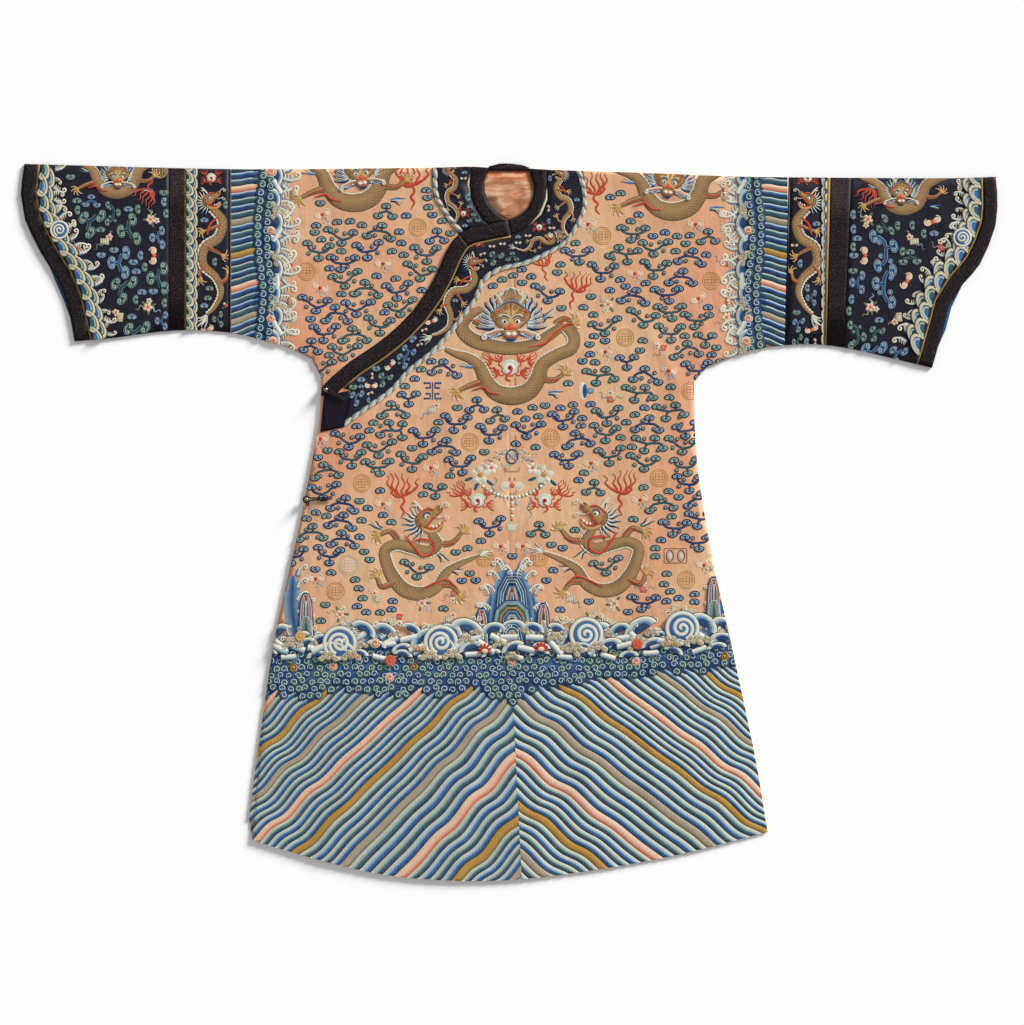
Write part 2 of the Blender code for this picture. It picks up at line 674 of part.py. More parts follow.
def make_collar(robe, materials):
    on_front = raised(front_low, WALL + LAID_GAP)
    on_under = raised(under_low, WALL + LAID_GAP)
    crescent_l, crescent_r = robe.crescents

    def in_any(x, y, *loops):
        return any(inside(loop, x, y) for loop in loops)

    patch_top = robe.patch[:2]

    def above_patch(x, y):
        (left_x, left_y), (right_x, right_y) = patch_top
        return y > left_y + (right_y - left_y) * (x - left_x) / (right_x - left_x)

    pieces = (
        ("collar_over", "navy", COLLAR_WALL, on_front,
         lambda x, y: (inside(robe.collar_outline, x, y)
                       and not in_any(x, y, robe.piping, crescent_r, robe.patch))),
        ("collar_under", "navy", COLLAR_WALL, on_under,
         lambda x, y: inside(robe.under_collar_outline, x, y) and not inside(crescent_l, x, y)),
        ("neck_band_l", "brocade", TRIM_WALL, on_under, lambda x, y: inside(robe.ring_l, x, y)),
        ("neck_band_r", "brocade", TRIM_WALL, on_front, lambda x, y: inside(robe.ring_r, x, y)),
        ("overlap_band_upper", "brocade", TRIM_WALL, on_front,
         lambda x, y: inside(robe.band_upper, x, y)),
        ("overlap_band_lower", "brocade", TRIM_WALL, on_front,
         lambda x, y: (inside(robe.band_lower, x, y) and above_patch(x, y)
                       and not inside(robe.patch, x, y))),
        ("overlap_piping", "gold", TRIM_WALL, on_front,
         lambda x, y: inside(robe.piping, x, y) and not inside(robe.patch, x, y)),
        ("neck_piping_l", "cream", TRIM_WALL, on_under, lambda x, y: inside(crescent_l, x, y)),
        ("neck_piping_r", "cream", TRIM_WALL, on_front, lambda x, y: inside(crescent_r, x, y)),
        ("closing_patch", "satin", COLLAR_WALL, on_front, lambda x, y: inside(robe.patch, x, y)),
    )
    for name, material, wall, low, test in pieces:
        sheet(robe.net, name, materials[material], robe.region(test), low, wall)
    sheet(robe.net, "neck_rim", materials["brocade"],
          robe.net.where(lambda x, y: inside(robe.rim, x, y)), flat(WALL + LAYER_GAP), RIM_WALL)


def make_frogs(materials):
    on_top = raised(front_low, WALL + LAID_GAP + TRIM_WALL)
    for number, button_x, button_y, end_x, end_y in FROGS:
        make_frog(materials, number, button_x, button_y, end_x, end_y, on_top)


clear_scene()
finishes = make_materials()
robe = Robe()
make_body(robe, finishes)
make_sleeves(robe, finishes)
make_collar(robe, finishes)
make_frogs(finishes)
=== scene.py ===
"""The looks of the dragon robe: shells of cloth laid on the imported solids, and the embroidery
worked over them in raised silk thread. Flat places are complex numbers in mm, x along the
sleeves and y from the hem to the neck; everything becomes metres when it is laid on the cloth.
"""

import math
import random

import bpy
import numpy as np
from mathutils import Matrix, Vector
from mathutils.bvhtree import BVHTree


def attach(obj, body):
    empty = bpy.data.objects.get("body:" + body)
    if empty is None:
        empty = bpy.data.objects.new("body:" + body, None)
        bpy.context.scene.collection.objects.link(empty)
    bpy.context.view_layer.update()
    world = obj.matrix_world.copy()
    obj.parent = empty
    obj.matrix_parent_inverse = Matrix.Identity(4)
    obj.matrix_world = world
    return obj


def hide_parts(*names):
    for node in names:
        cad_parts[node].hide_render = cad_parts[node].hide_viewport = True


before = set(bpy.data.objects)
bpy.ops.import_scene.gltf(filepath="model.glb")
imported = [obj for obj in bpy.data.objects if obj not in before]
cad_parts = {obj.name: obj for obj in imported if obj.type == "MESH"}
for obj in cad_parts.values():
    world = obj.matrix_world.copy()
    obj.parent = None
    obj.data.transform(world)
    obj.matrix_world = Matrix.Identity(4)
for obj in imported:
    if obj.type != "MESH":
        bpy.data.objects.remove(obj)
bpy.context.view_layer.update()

MM = 0.001
STEP = 0.10           # each level of stitching lies this much above the last, mm
RIDGE = 0.40          # height of a satin stitch down its middle, mm
WEAVE_PITCH = 0.0016  # spacing of the ribs of a woven silk, m
EDGE_DIP = -0.06      # edges of a stitch go into the cloth
FOLD_ANGLE = 40       # edges sharper than this stay sharp, degrees
SETTLE_ROUNDS = 14    # how often the heights of the cloth are eased
FRONT_ABOVE = 1.35    # cloth higher than this is front, and takes the creases, mm
OVER_ROBE = 0.1       # a height clear of everything, m
UNDER_ROBE = -1.0     # lower than any cloth, mm
DOWN = Vector((0, 0, -1))
rng = random.Random(7)


def jitter(most):
    """A random amount, up or down."""
    return rng.uniform(-most, most)


# Silk threads, as they look in daylight

SILKS = {
    "navy": "182A4C", "royal": "1F4676", "blue": "386A9C", "sky": "82A8C0", "pale blue": "B3C6C9",
    "deep teal": "1B3A46", "teal": "2F5C68", "jade": "6C9A93", "pale jade": "B2C4B0",
    "cream": "DAD2BA", "white": "E8E3D2", "stone": "C9C7B4", "sand": "BBAC8B", "ink": "171A2C",
    "dusk": "8DA5A8", "slate": "44697A", "deep slate": "233F56",
    "gold": "AD8650", "dark gold": "70502F", "ochre": "BC8842", "light gold": "CDA768",
    "copper": "946241", "lattice": "54444A",
    "red": "B83E28", "coral": "D26446", "pink": "E2B096", "blush": "E6C2A6",
    "greige": "AA9C87", "dark greige": "7E7464", "olive": "85703A", "bright gold": "B98E3A",
    "lichen": "75804A", "brown": "51402F",
}


FIRE = ("coral", "red", "red")
CREAM_BAND = ("sand", "cream", "sand")


def daylight(code):
    """A colour in linear light from its usual six-digit form."""
    parts = [int(code[i:i + 2], 16) / 255 for i in (0, 2, 4)]
    return tuple(c / 12.92 if c <= 0.04045 else ((c + 0.055) / 1.055) ** 2.4 for c in parts)


SILK = {name: np.array(daylight(code)) for name, code in SILKS.items()}


def silk(name):
    return SILK[name] if isinstance(name, str) else np.asarray(name, float)


def blend(a, b, share):
    return silk(a) * (1 - share) + silk(b) * share


# Finishes

class Wire:
    """A number from a socket, with arithmetic that adds Math nodes."""

    def __init__(self, finish, socket):
        self.finish = finish
        self.socket = socket

    def maths(self, operation, *values):
        return self.finish.node("ShaderNodeMath", {"operation": operation}, dict(enumerate(values)))

    def __add__(self, other):
        return self.maths("ADD", self, other)

    __radd__ = __add__

    def __sub__(self, other):
        return self.maths("SUBTRACT", self, other)

    def __rsub__(self, other):
        return self.maths("SUBTRACT", other, self)

    def __mul__(self, other):
        return self.maths("MULTIPLY", self, other)

    __rmul__ = __mul__

    def __pow__(self, other):
        return self.maths("POWER", self, other)

    def sine(self):
        return self.maths("SINE", self)

    def between(self, low, high):
        """0 below low, 1 above high, and eased from one to the other."""
        return self.finish.node("ShaderNodeMapRange", {"interpolation_type": "SMOOTHSTEP"},
                                {"Value": self, "From Min": low, "From Max": high})


SHEEN_ROUGHNESS = 0.4
THREAD_SHINE = 0.14   # how strongly silk reflects


class Finish:
    """A material in the making. Its Principled shader has constants set on its own sockets."""

    def __init__(self, name, roughness=0.6, sheen=0.0, **constants):
        self.material = bpy.data.materials.new(name)
        self.material.use_nodes = True
        self.tree = self.material.node_tree
        self.shader = self.tree.nodes["Principled BSDF"]
        self.shader.inputs["Roughness"].default_value = roughness
        self.shader.inputs["Sheen Weight"].default_value = sheen
        self.shader.inputs["Sheen Roughness"].default_value = SHEEN_ROUGHNESS
        self.shader.inputs["Specular IOR Level"].default_value = THREAD_SHINE
        for socket, value in constants.items():
            self.shader.inputs[socket.replace("_", " ")].default_value = value
        self.place = self.node("ShaderNodeTexCoord", {}, {}, "Object")

    def node(self, kind, settings, sockets, out=0):
        """Adds a node: its settings first, then the values or links of its sockets."""
        added = self.tree.nodes.new(kind)
        for setting, value in settings.items():
            if setting == "stops":
                stops = added.color_ramp.elements
                while len(stops) < len(value):
                    stops.new(1.0)
                for stop, (position, colour) in zip(stops, value):
                    stop.position = position
                    stop.color = (*colour, 1.0)
            else:
                setattr(added, setting, value)
        for socket, value in sockets.items():
            if isinstance(value, Wire):
                self.tree.links.new(value.socket, added.inputs[socket])
            elif value is not None:
                added.inputs[socket].default_value = value
        return Wire(self, added.outputs[out])

    def noise(self, scale, detail=3.0, stretch=(1, 1, 1)):
        moved = self.node("ShaderNodeMapping", {}, {"Vector": self.place, "Scale": stretch})
        return self.node("ShaderNodeTexNoise", {}, {"Vector": moved, "Scale": scale,
                                                    "Detail": detail})

    def mix(self, share, first, second):
        """A colour between two, each a wire or linear red, green and blue."""
        colours = [c if isinstance(c, Wire) else (*c, 1.0) for c in (first, second)]
        return self.node("ShaderNodeMix", {"data_type": "RGBA"},
                         {0: share, 6: colours[0], 7: colours[1]}, 2)

    def axes(self):
        split = self.node("ShaderNodeSeparateXYZ", {}, {"Vector": self.place})
        outputs = split.socket.node.outputs
        return [Wire(self, socket) for socket in outputs]

    def spot(self, x, y, wide, high):
        """1 at a place in mm, and 0 past an oval round it."""
        across, up, _ = self.axes()
        wide_share = (across - x * MM) * (1 / (wide * MM))
        high_share = (up - y * MM) * (1 / (high * MM))
        return 1 - (wide_share ** 2 + high_share ** 2).between(0.0, 1.0)

    def finish(self, colour, bump=None, strength=0.3, distance=0.0004):
        self.tree.links.new(colour.socket, self.shader.inputs["Base Color"])
        if bump is not None:
            normal = self.node("ShaderNodeBump", {}, {"Height": bump, "Strength": strength,
                                                      "Distance": distance})
            self.tree.links.new(normal.socket, self.shader.inputs["Normal"])
        return self.material


def weave_height(finish):
    """The faint ribs of a closely woven silk, with slubs."""
    across, up, _ = finish.axes()
    rate = 2 * math.pi / WEAVE_PITCH
    return ((across * rate).sine() + (up * rate * 1.3).sine()) * 0.25 + finish.noise(900.0, 2.0)


def apricot_silk():
    f = Finish("Apricot silk", 0.5, sheen=0.06)
    broad = f.noise(5.0, 4.0).between(0.38, 0.66)
    worn = f.noise(16.0, 5.0, (1, 0.6, 1)).between(0.42, 0.75)
    colour = f.mix(broad, daylight("DDB28B"), daylight("D99F7A"))
    colour = f.mix(worn * 0.4, colour, daylight("C7A27C"))
    # Salmon tone near the armpits: partly the silk's own colour, partly painted shade of the folds
    # there.
    salmon_and_fold_shade = (f.spot(-360, 190, 110, 190) + f.spot(350, 180, 110, 210)
            + f.spot(-400, 420, 120, 160) + f.spot(395, 470, 90, 190))
    colour = f.mix(salmon_and_fold_shade * 0.6, colour, daylight("DA9270"))
    slub = f.noise(260.0, 2.0, (1, 0.12, 1))
    colour = f.mix(slub.between(0.45, 0.8) * 0.18, colour, daylight("E0BD98"))
    # Darker mottling: stains, and painted shade of small wrinkles.
    stains_and_wrinkle_shade = f.noise(48.0, 5.0, (1, 0.8, 1)).between(0.5, 0.78)
    colour = f.mix(stains_and_wrinkle_shade * 0.35, colour, daylight("A9805C"))
    wrinkles = f.noise(26.0, 4.0, (1.4, 0.7, 1))
    return f.finish(colour, wrinkles + weave_height(f) * 0.1, 0.5, 0.004)


def lining_silk():
    f = Finish("Apricot lining", 0.5, sheen=0.05)
    colour = f.mix(f.noise(22.0, 4.0).between(0.35, 0.7), daylight("C98F6A"), daylight("A5684A"))
    stained = f.noise(60.0, 4.0, (0.5, 1.6, 1)).between(0.42, 0.6)
    colour = f.mix(f.spot(2, 678, 46, 16) * (0.4 + 0.6 * stained), colour, daylight("C2492B"))
    colour = f.mix(f.spot(0, 661, 60, 12) * 0.7 * stained, colour, daylight("9A6446"))
    colour = f.mix(f.spot(0, 645, 70, 18) * 0.6 * stained, colour, daylight("EBC3A0"))
    colour = f.mix(f.spot(11, 640, 7, 5) * 0.8, colour, daylight("DB6A4A"))
    folds = f.noise(34.0, 6.0, (0.5, 1.5, 1))
    # Painted highlight on the ridges of the folds, and painted shade in their hollows.
    colour = f.mix(folds.between(0.52, 0.66) * 0.6, colour, daylight("EBC29C"))
    colour = f.mix((1 - folds.between(0.3, 0.44)) * 0.7, colour, daylight("6E3E28"))
    return f.finish(colour, folds + weave_height(f) * 0.1, 0.7, 0.005)


def dark_silk(name, ground, slub, sheen=0.04, roughness=0.5):
    f = Finish(name, roughness, sheen=sheen)
    ribs = f.noise(420.0, 2.0, (0.2, 1, 1))
    colour = f.mix(ribs.between(0.4, 0.75) * 0.6, daylight(ground), daylight(slub))
    colour = f.mix(f.noise(9.0, 3.0).between(0.35, 0.7) * 0.35, colour, daylight(slub))
    return f.finish(colour, weave_height(f), 0.25)


def black_brocade():
    """A close small figure in brown on near black, as damask roundels and scrolls."""
    f = Finish("Black brocade", 0.58, sheen=0.03)
    cells = f.node("ShaderNodeTexVoronoi", {"feature": "DISTANCE_TO_EDGE"},
                   {"Vector": f.place, "Scale": 170.0, "Randomness": 0.75})
    rings = f.node("ShaderNodeTexVoronoi", {}, {"Vector": f.place, "Scale": 95.0})
    scroll = (rings * 22.0).sine().between(0.1, 0.9)
    figure = scroll * cells.between(0.05, 0.22)
    colour = f.mix(figure * 0.8, daylight("161014"), daylight("46342F"))
    colour = f.mix(f.noise(700.0, 2.0).between(0.6, 0.75) * 0.35, colour, daylight("5C4A40"))
    return f.finish(colour, figure * 0.7 + weave_height(f) * 0.4, 0.5, 0.0006)


def twisted(name, light, dark, pitch=0.004):
    """Piping of twisted cord: slanting turns across its length, each painted from dark to light as
    painted shade and highlight.
    """
    f = Finish(name, 0.5, sheen=0.03)
    across, up, _ = f.axes()
    turns = ((across + up) * (2 * math.pi / pitch)).sine().between(-0.8, 0.8)
    # Painted highlight and shade: each turn runs from the shaded colour to the lit one.
    colour = f.mix(turns, daylight(dark), daylight(light))
    colour = f.mix(f.noise(40.0).between(0.4, 0.7) * 0.3, colour, daylight(dark))
    return f.finish(colour, turns, 0.5, 0.0006)


def embroidery_silk():
    """Floss silk in the colour that each stitch holds, with the sheen and grain of thread."""
    f = Finish("Embroidery silk", 0.42, sheen=0.05)
    thread = f.node("ShaderNodeAttribute", {"attribute_name": "Thread"}, {}, "Color")
    grain = f.noise(1100.0, 2.0)
    shade = f.noise(60.0, 3.0).between(0.3, 0.75)
    colour = f.mix(grain.between(0.35, 0.7) * 0.22, thread, daylight("1A1A22"))
    faded = f.mix(shade * 0.05, colour, daylight("D8CBB0"))
    return f.finish(faded, grain, 0.35, 0.0003)


def dull_brass():
    f = Finish("Dull brass", 0.35, Metallic=0.9)
    colour = f.mix(f.noise(500.0).between(0.4, 0.65), daylight("B9A98A"), daylight("4A4034"))
    return f.finish(colour, f.noise(700.0), 0.2)


def studio_floor():
    f = Finish("Pale floor", 0.9)
    colour = f.mix(f.noise(3.0) * 0.02, daylight("FDFDFD"), daylight("F6F6F6"))
    return f.finish(colour)


FINISHES = {
    "apricot silk": apricot_silk(),
    "apricot lining": lining_silk(),
    "navy silk": dark_silk("Navy silk", "1B1924", "2A2834"),
    "navy satin": dark_silk("Navy satin", "19141F", "231D2B", 0.03, 0.38),
    "black brocade": black_brocade(),
    "gold piping": twisted("Gold piping", "A58A52", "6F5630"),
    "cream piping": twisted("Cream piping", "DDD3B8", "A39877"),
    "blue lining": dark_silk("Blue lining", "1F3F60", "33628A", 0.04, 0.4),
    "black cord": twisted("Black cord", "2A242A", "0E0C10", 0.0025),
    "dull brass": dull_brass(),
    "embroidery": embroidery_silk(),
}


# Cloth shells on the solids' forms

# Soft creases of the front: x, y, direction in degrees, half length, half width, height, mm.
CREASES = (
    (-330, 420, 62, 120, 9, 1.0), (-285, 395, 48, 90, 8, 1.2), (-395, 455, 70, 80, 8, 0.9),
    (-345, 330, 35, 60, 8, 1.3), (-300, 300, 25, 70, 9, 1.0), (-400, 360, 50, 60, 10, 1.0),
    (-350, 120, 80, 110, 12, 1.0), (-320, 60, 96, 120, 10, 0.8), (-385, -60, 84, 110, 12, 1.0),
    (-250, -10, 78, 140, 14, 0.6), (-120, 60, 88, 170, 14, 0.5), (-60, -120, 92, 160, 12, 0.6),
    (60, -60, 86, 190, 12, 0.7), (170, 40, 95, 160, 14, 0.5), (250, 180, 80, 130, 12, 0.6),
    (330, 240, 110, 110, 10, 1.2), (345, 150, 96, 110, 10, 0.9), (300, 320, 128, 90, 10, 1.1),
    (380, 380, 120, 90, 10, 1.0), (410, 450, 100, 90, 9, 0.9), (365, -40, 92, 130, 12, 0.8),
    (110, 330, 20, 110, 12, 0.7), (200, 520, 12, 120, 11, 0.7), (-200, 560, -14, 110, 11, 0.8),
    (300, 590, 5, 130, 12, 0.6), (-380, 590, 10, 110, 12, 0.6), (-450, -350, 80, 150, 14, 1.2),
    (-330, -560, 74, 110, 16, 1.4), (-200, -450, 82, 190, 16, 1.1), (-80, -520, 86, 150, 14, 1.2),
    (60, -560, 92, 120, 12, 1.2), (150, -420, 97, 190, 16, 0.9), (280, -500, 100, 140, 16, 1.2),
    (400, -420, 98, 170, 14, 1.1), (455, -540, 104, 80, 14, 1.2), (-700, 620, 8, 90, 10, 0.7),
    (-760, 480, 150, 80, 12, 0.8), (-850, 560, 110, 90, 12, 0.8), (-660, 420, 95, 70, 10, 0.7),
    (720, 600, -6, 90, 10, 0.7), (770, 450, 30, 80, 12, 0.8), (850, 560, 70, 90, 12, 0.8),
    (660, 400, 85, 70, 10, 0.7), (-560, 450, 88, 90, 8, 0.5), (555, 440, 92, 90, 8, 0.5),
)


def crease_height(x, y):
    """How far the creases lift the front at some places, mm."""
    height = np.zeros_like(x)
    for at_x, at_y, direction, length, width, top in CREASES:
        turn = math.radians(direction)
        along = (x - at_x) * math.cos(turn) + (y - at_y) * math.sin(turn)
        across = (y - at_y) * math.cos(turn) - (x - at_x) * math.sin(turn)
        across = across + width * 0.5 * np.sin(along / length * 2.3)
        height += top * np.exp(-(along / length) ** 2 - (across / width) ** 2)
    return height


def only(obj):
    bpy.ops.object.select_all(action="DESELECT")
    obj.select_set(True)
    bpy.context.view_layer.objects.active = obj


def link(obj):
    bpy.context.scene.collection.objects.link(obj)
    return obj


def join_split_corners(obj, cuts):
    """The solid comes as loose triangles: merge them, and make the net finer."""
    only(obj)
    bpy.ops.object.mode_set(mode="EDIT")
    bpy.ops.mesh.select_all(action="SELECT")
    bpy.ops.mesh.remove_doubles(threshold=0.00001)
    if cuts:
        bpy.ops.mesh.subdivide(number_cuts=cuts)
    bpy.ops.object.mode_set(mode="OBJECT")


def settle(mesh):
    """Eases the heights of neighbours on each layer, so that the cloth has no facets."""
    count = len(mesh.vertices)
    places = np.empty(count * 3)
    mesh.vertices.foreach_get("co", places)
    places = places.reshape(-1, 3)
    ends = np.empty(len(mesh.edges) * 2, np.int64)
    mesh.edges.foreach_get("vertices", ends)
    ends = ends.reshape(-1, 2)
    spans = places[ends[:, 0]] - places[ends[:, 1]]
    flat = np.abs(spans[:, 2]) < 0.3 * np.hypot(spans[:, 0], spans[:, 1])
    a, b = ends[flat].T
    neighbours = np.bincount(a, minlength=count) + np.bincount(b, minlength=count)
    z = places[:, 2].copy()
    for _ in range(SETTLE_ROUNDS):
        total = np.bincount(a, z[b], count) + np.bincount(b, z[a], count)
        z = np.where(neighbours > 0, 0.4 * z + 0.6 * total / np.maximum(neighbours, 1), z)
    places[:, 2] = z
    return places


def copy_of(node, name, cuts):
    """A copy of one solid, for making it finer."""
    obj = link(bpy.data.objects.new(name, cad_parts[node].data.copy()))
    obj.data.name = name
    join_split_corners(obj, cuts)
    return obj


def dress(obj, node, finish):
    """Gives a piece its finish, sets it on the root, and hides the solid that it stands for."""
    obj.data.materials.clear()
    obj.data.materials.append(FINISHES[finish])
    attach(obj, "root")
    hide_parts(node)
    return obj


def cloth(name, node, finish, cuts):
    """A shell of cloth that stands for one solid."""
    obj = copy_of(node, name, cuts)
    places = settle(obj.data)
    front = places[:, 2] > FRONT_ABOVE * MM
    lift = crease_height(places[:, 0] / MM, places[:, 1] / MM) * MM
    places[:, 2] += np.where(front, lift, 0.0)
    obj.data.vertices.foreach_set("co", places.ravel())
    only(obj)
    bpy.ops.object.shade_smooth_by_angle(angle=math.radians(FOLD_ANGLE))
    return dress(obj, node, finish)


# Each piece: its name, the solid it stands for, its finish, how finely it is cut, and its sides.
BOTH_SIDES = ("_l", "_r")
CLOTHS = (
    ("right_length", "body_r", "apricot silk", 4, ("",)),
    ("left_length", "body_l", "apricot silk", 4, ("",)),
    ("outer_front", "overlap_front", "apricot silk", 4, ("",)),
    ("neck_lining", "back_lining", "apricot lining", 3, ("",)),
    ("sleeve_band", "sleeve_strip", "navy silk", 3, BOTH_SIDES),
    ("sleeve_edge", "sleeve_cord", "navy satin", 1, BOTH_SIDES),
    ("sleeve_gold", "sleeve_piping", "gold piping", 1, BOTH_SIDES),
    ("ribbon", "sleeve_ribbon", "black brocade", 3, BOTH_SIDES),
    ("cuff", "cuff_panel", "navy silk", 3, BOTH_SIDES),
    ("cuff_gold", "cuff_piping", "gold piping", 1, BOTH_SIDES),
    ("edging", "cuff_edging", "black brocade", 3, BOTH_SIDES),
    ("mouth_lining", "cuff_lining", "blue lining", 2, BOTH_SIDES),
    ("collar", "collar_over", "navy silk", 3, ("",)),
    ("collar_left", "collar_under", "navy silk", 3, ("",)),
    ("neck_ring", "neck_band", "black brocade", 3, BOTH_SIDES),
    ("neck_back", "neck_rim", "black brocade", 2, ("",)),
    ("overlap_band_top", "overlap_band_upper", "black brocade", 3, ("",)),
    ("overlap_band", "overlap_band_lower", "black brocade", 3, ("",)),
    ("overlap_gold", "overlap_piping", "gold piping", 1, ("",)),
    ("neck_cream", "neck_piping", "cream piping", 1, BOTH_SIDES),
    ("closing_flap", "closing_patch", "navy satin", 4, ("",)),
)
shells = {name + end: cloth(name + end, node + end, finish, cuts)
          for name, node, finish, cuts, ends in CLOTHS for end in ends}


def upper_faces(names, above):
    """A search tree of the faces of some shells that look up, and which shell each is of."""
    points, faces, owners = [], [], []
    for number, name in enumerate(names):
        mesh = shells[name].data
        start = len(points)
        points += [v.co.copy() for v in mesh.vertices]
        kept = [p for p in mesh.polygons if p.normal.z > 0.5 and p.center.z > above * MM]
        faces += [[start + i for i in p.vertices] for p in kept]
        owners += [number] * len(kept)
    return BVHTree.FromPolygons(points, faces), owners


class Ground:
    """The upper faces of some shells, for laying stitches on."""

    def __init__(self, *names, above=FRONT_ABOVE):
        self.tree, _ = upper_faces(names, above)

    def height(self, x, y):
        """Height of the cloth in metres, bridging the gap of a seam, or None beside it."""
        best = None
        for dx, dy in ((0.0, 0.0), (0.0004, 0.0003), (-0.0004, -0.0003)):
            hit = self.tree.ray_cast(Vector((x + dx, y + dy, OVER_ROBE)), DOWN)[0]
            if hit is not None and (best is None or hit.z > best):
                best = hit.z
        return best


# Raised stitches


class Stitching:
    """Stitches in the plane: places in mm, how high each lies, its silk, and the faces."""

    def __init__(self):
        self.places, self.lifts, self.tints, self.faces = [], [], [], []
        self.count = 0

    def add(self, places, lifts, tints, faces):
        self.places.append(np.asarray(places, complex))
        self.lifts.append(np.broadcast_to(np.asarray(lifts, float), (len(places),)))
        self.tints.append(np.broadcast_to(np.asarray(tints, float), (len(places), 3)))
        self.faces += [face + self.count for face in faces]
        self.count += len(places)

    def rows(self, rows, lifts, tints, ribbed=0.0):
        """A surface through rows of places, each row with its own lift and silk. Ribbed rows
        are a little darker at every second place."""
        rows = np.asarray(rows, complex)
        number, length = rows.shape
        lifts = np.repeat(np.asarray(lifts, float), length)
        tints = np.concatenate([np.broadcast_to(silk(t), (length, 3)) for t in tints])
        tints = tints * np.tile(np.where(np.arange(length) % 2, 1 - ribbed, 1.0), number)[:, None]
        i, j = np.meshgrid(np.arange(number - 1), np.arange(length - 1), indexing="ij")
        corner = (i * length + j).ravel()
        faces = np.stack([corner, corner + length, corner + length + 1, corner + 1], 1)
        self.add(rows.ravel(), lifts, tints, [faces])

    def stroke(self, path, width, tint, level=0, ridge=RIDGE):
        """A band of satin stitch along a path. Its width may change, and its silk across it."""
        path = np.asarray(path, complex)
        along = np.gradient(path)
        side = 1j * along / (np.abs(along) + 1e-9) * np.asarray(width, float) / 2
        tints = tint if isinstance(tint, tuple) else (tint, tint, tint)
        low = level * STEP
        self.rows((path + side, path, path - side),
                  (low + EDGE_DIP, low + ridge, low + EDGE_DIP), tints)

    def sweep(self, points, steps, widths, tint, level=0, ridge=RIDGE):
        """A rounded and tapered stroke. widths holds the width, then how blunt each end is."""
        path = smooth(points, steps)
        self.stroke(path, taper(len(path), *widths), tint, level, ridge)

    def fill(self, outline, edge, middle, level=0, ridge=RIDGE, inner=0.55, at=None):
        """A filled shape that rises a little to its middle, shaded from edge to middle."""
        outline = np.asarray(outline, complex)
        if np.sum((np.conj(outline) * np.roll(outline, -1)).imag) < 0:
            outline = outline[::-1]
        at = outline.mean() if at is None else at
        ring = at + inner * (outline - at)
        n = len(outline)
        low = level * STEP
        i = np.arange(n)
        after = (i + 1) % n
        self.add(np.concatenate([outline, ring, [at]]),
                 np.concatenate([np.full(n, low + EDGE_DIP), np.full(n, low + 0.8 * ridge),
                                 [low + ridge]]),
                 np.concatenate([np.broadcast_to(silk(edge), (n, 3)),
                                 np.broadcast_to(blend(edge, middle, 0.8), (n, 3)),
                                 silk(middle)[None]]),
                 [np.stack([i, after, n + after, n + i], 1),
                  np.stack([n + i, n + after, np.full(n, 2 * n)], 1)])

    def place(self, motif, at, turn=0.0, size=1.0, flip=False, level=0):
        """Sets a copy of a motif at a place, turned, sized, or as its mirror image."""
        spin = size * way_of(turn)
        start = self.count
        for places, lifts, tints in zip(motif.places, motif.lifts, motif.tints):
            moved = -np.conj(places) if flip else places
            self.places.append(at + spin * moved)
            self.lifts.append(lifts + level * STEP)
            self.tints.append(tints)
            self.count += len(places)
        self.faces += [(face[:, ::-1] if flip else face) + start for face in motif.faces]

    def packed(self):
        """The same stitches in one block, so that many copies are placed quickly."""
        self.places = [np.concatenate(self.places)]
        self.lifts = [np.concatenate(self.lifts)]
        self.tints = [np.concatenate(self.tints)]
        by_sides = {}
        for face in self.faces:
            by_sides.setdefault(face.shape[1], []).append(face)
        self.faces = [np.concatenate(group) for group in by_sides.values()]
        return self


def stitched(draw):
    """Makes a drawing function give its stitches, packed."""
    def drawn(*choices):
        s = Stitching()
        draw(s, *choices)
        return s.packed()
    return drawn


def lay(stitching, name, ground, slot, lift=0.0):
    """Lays the stitches on the cloth as one mesh. Those wholly off its edge are left out."""
    stitching.packed()
    places, lifts, tints = (stitching.places[0], stitching.lifts[0], stitching.tints[0])
    points = np.zeros((len(places), 3))
    held = np.zeros(len(places), bool)
    for i, place in enumerate(places * MM):
        z = ground.height(place.real, place.imag)
        if z is None:
            near = ground.tree.find_nearest(Vector((place.real, place.imag, 0.004)))[0]
            points[i] = near
        else:
            points[i] = place.real, place.imag, z
            held[i] = True
    points[:, 2] += (lifts + lift) * MM
    faces = []
    for group in stitching.faces:
        corners = places[group]
        turned = (np.conj(corners) * np.roll(corners, -1, axis=1)).imag.sum(axis=1) < 0
        group = np.where(turned[:, None], group[:, ::-1], group)
        faces += group[held[group].any(axis=1)].tolist()
    used = np.unique([i for f in faces for i in f])
    renumber = np.zeros(len(points), int)
    renumber[used] = np.arange(len(used))
    mesh = bpy.data.meshes.new(name)
    mesh.from_pydata(points[used].tolist(), [], [[renumber[i] for i in f] for f in faces])
    colours = mesh.attributes.new("Thread", "FLOAT_COLOR", "POINT")
    colours.data.foreach_set("color", np.hstack([tints[used], np.ones((len(used), 1))]).ravel())
    mesh.materials.append(FINISHES["embroidery"])
    mesh.shade_smooth()
    obj = link(bpy.data.objects.new(name, mesh))
    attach(obj, "root")
    return obj


# Paths

def smooth(points, steps=4, closed=False):
    """A rounded path through some places."""
    points = np.asarray(points, complex)
    if closed:
        padded = np.concatenate([points[-1:], points, points[:2]])
    else:
        padded = np.concatenate([[2 * points[0] - points[1]], points,
                                 [2 * points[-1] - points[-2]]])
    t = np.arange(steps) / steps
    parts = []
    for a, b, c, d in zip(padded, padded[1:], padded[2:], padded[3:]):
        parts.append(0.5 * (2 * b + (c - a) * t + (2 * a - 5 * b + 4 * c - d) * t ** 2
                            + (3 * b - a - 3 * c + d) * t ** 3))
    path = np.concatenate(parts)
    return path if closed else np.append(path, points[-1])


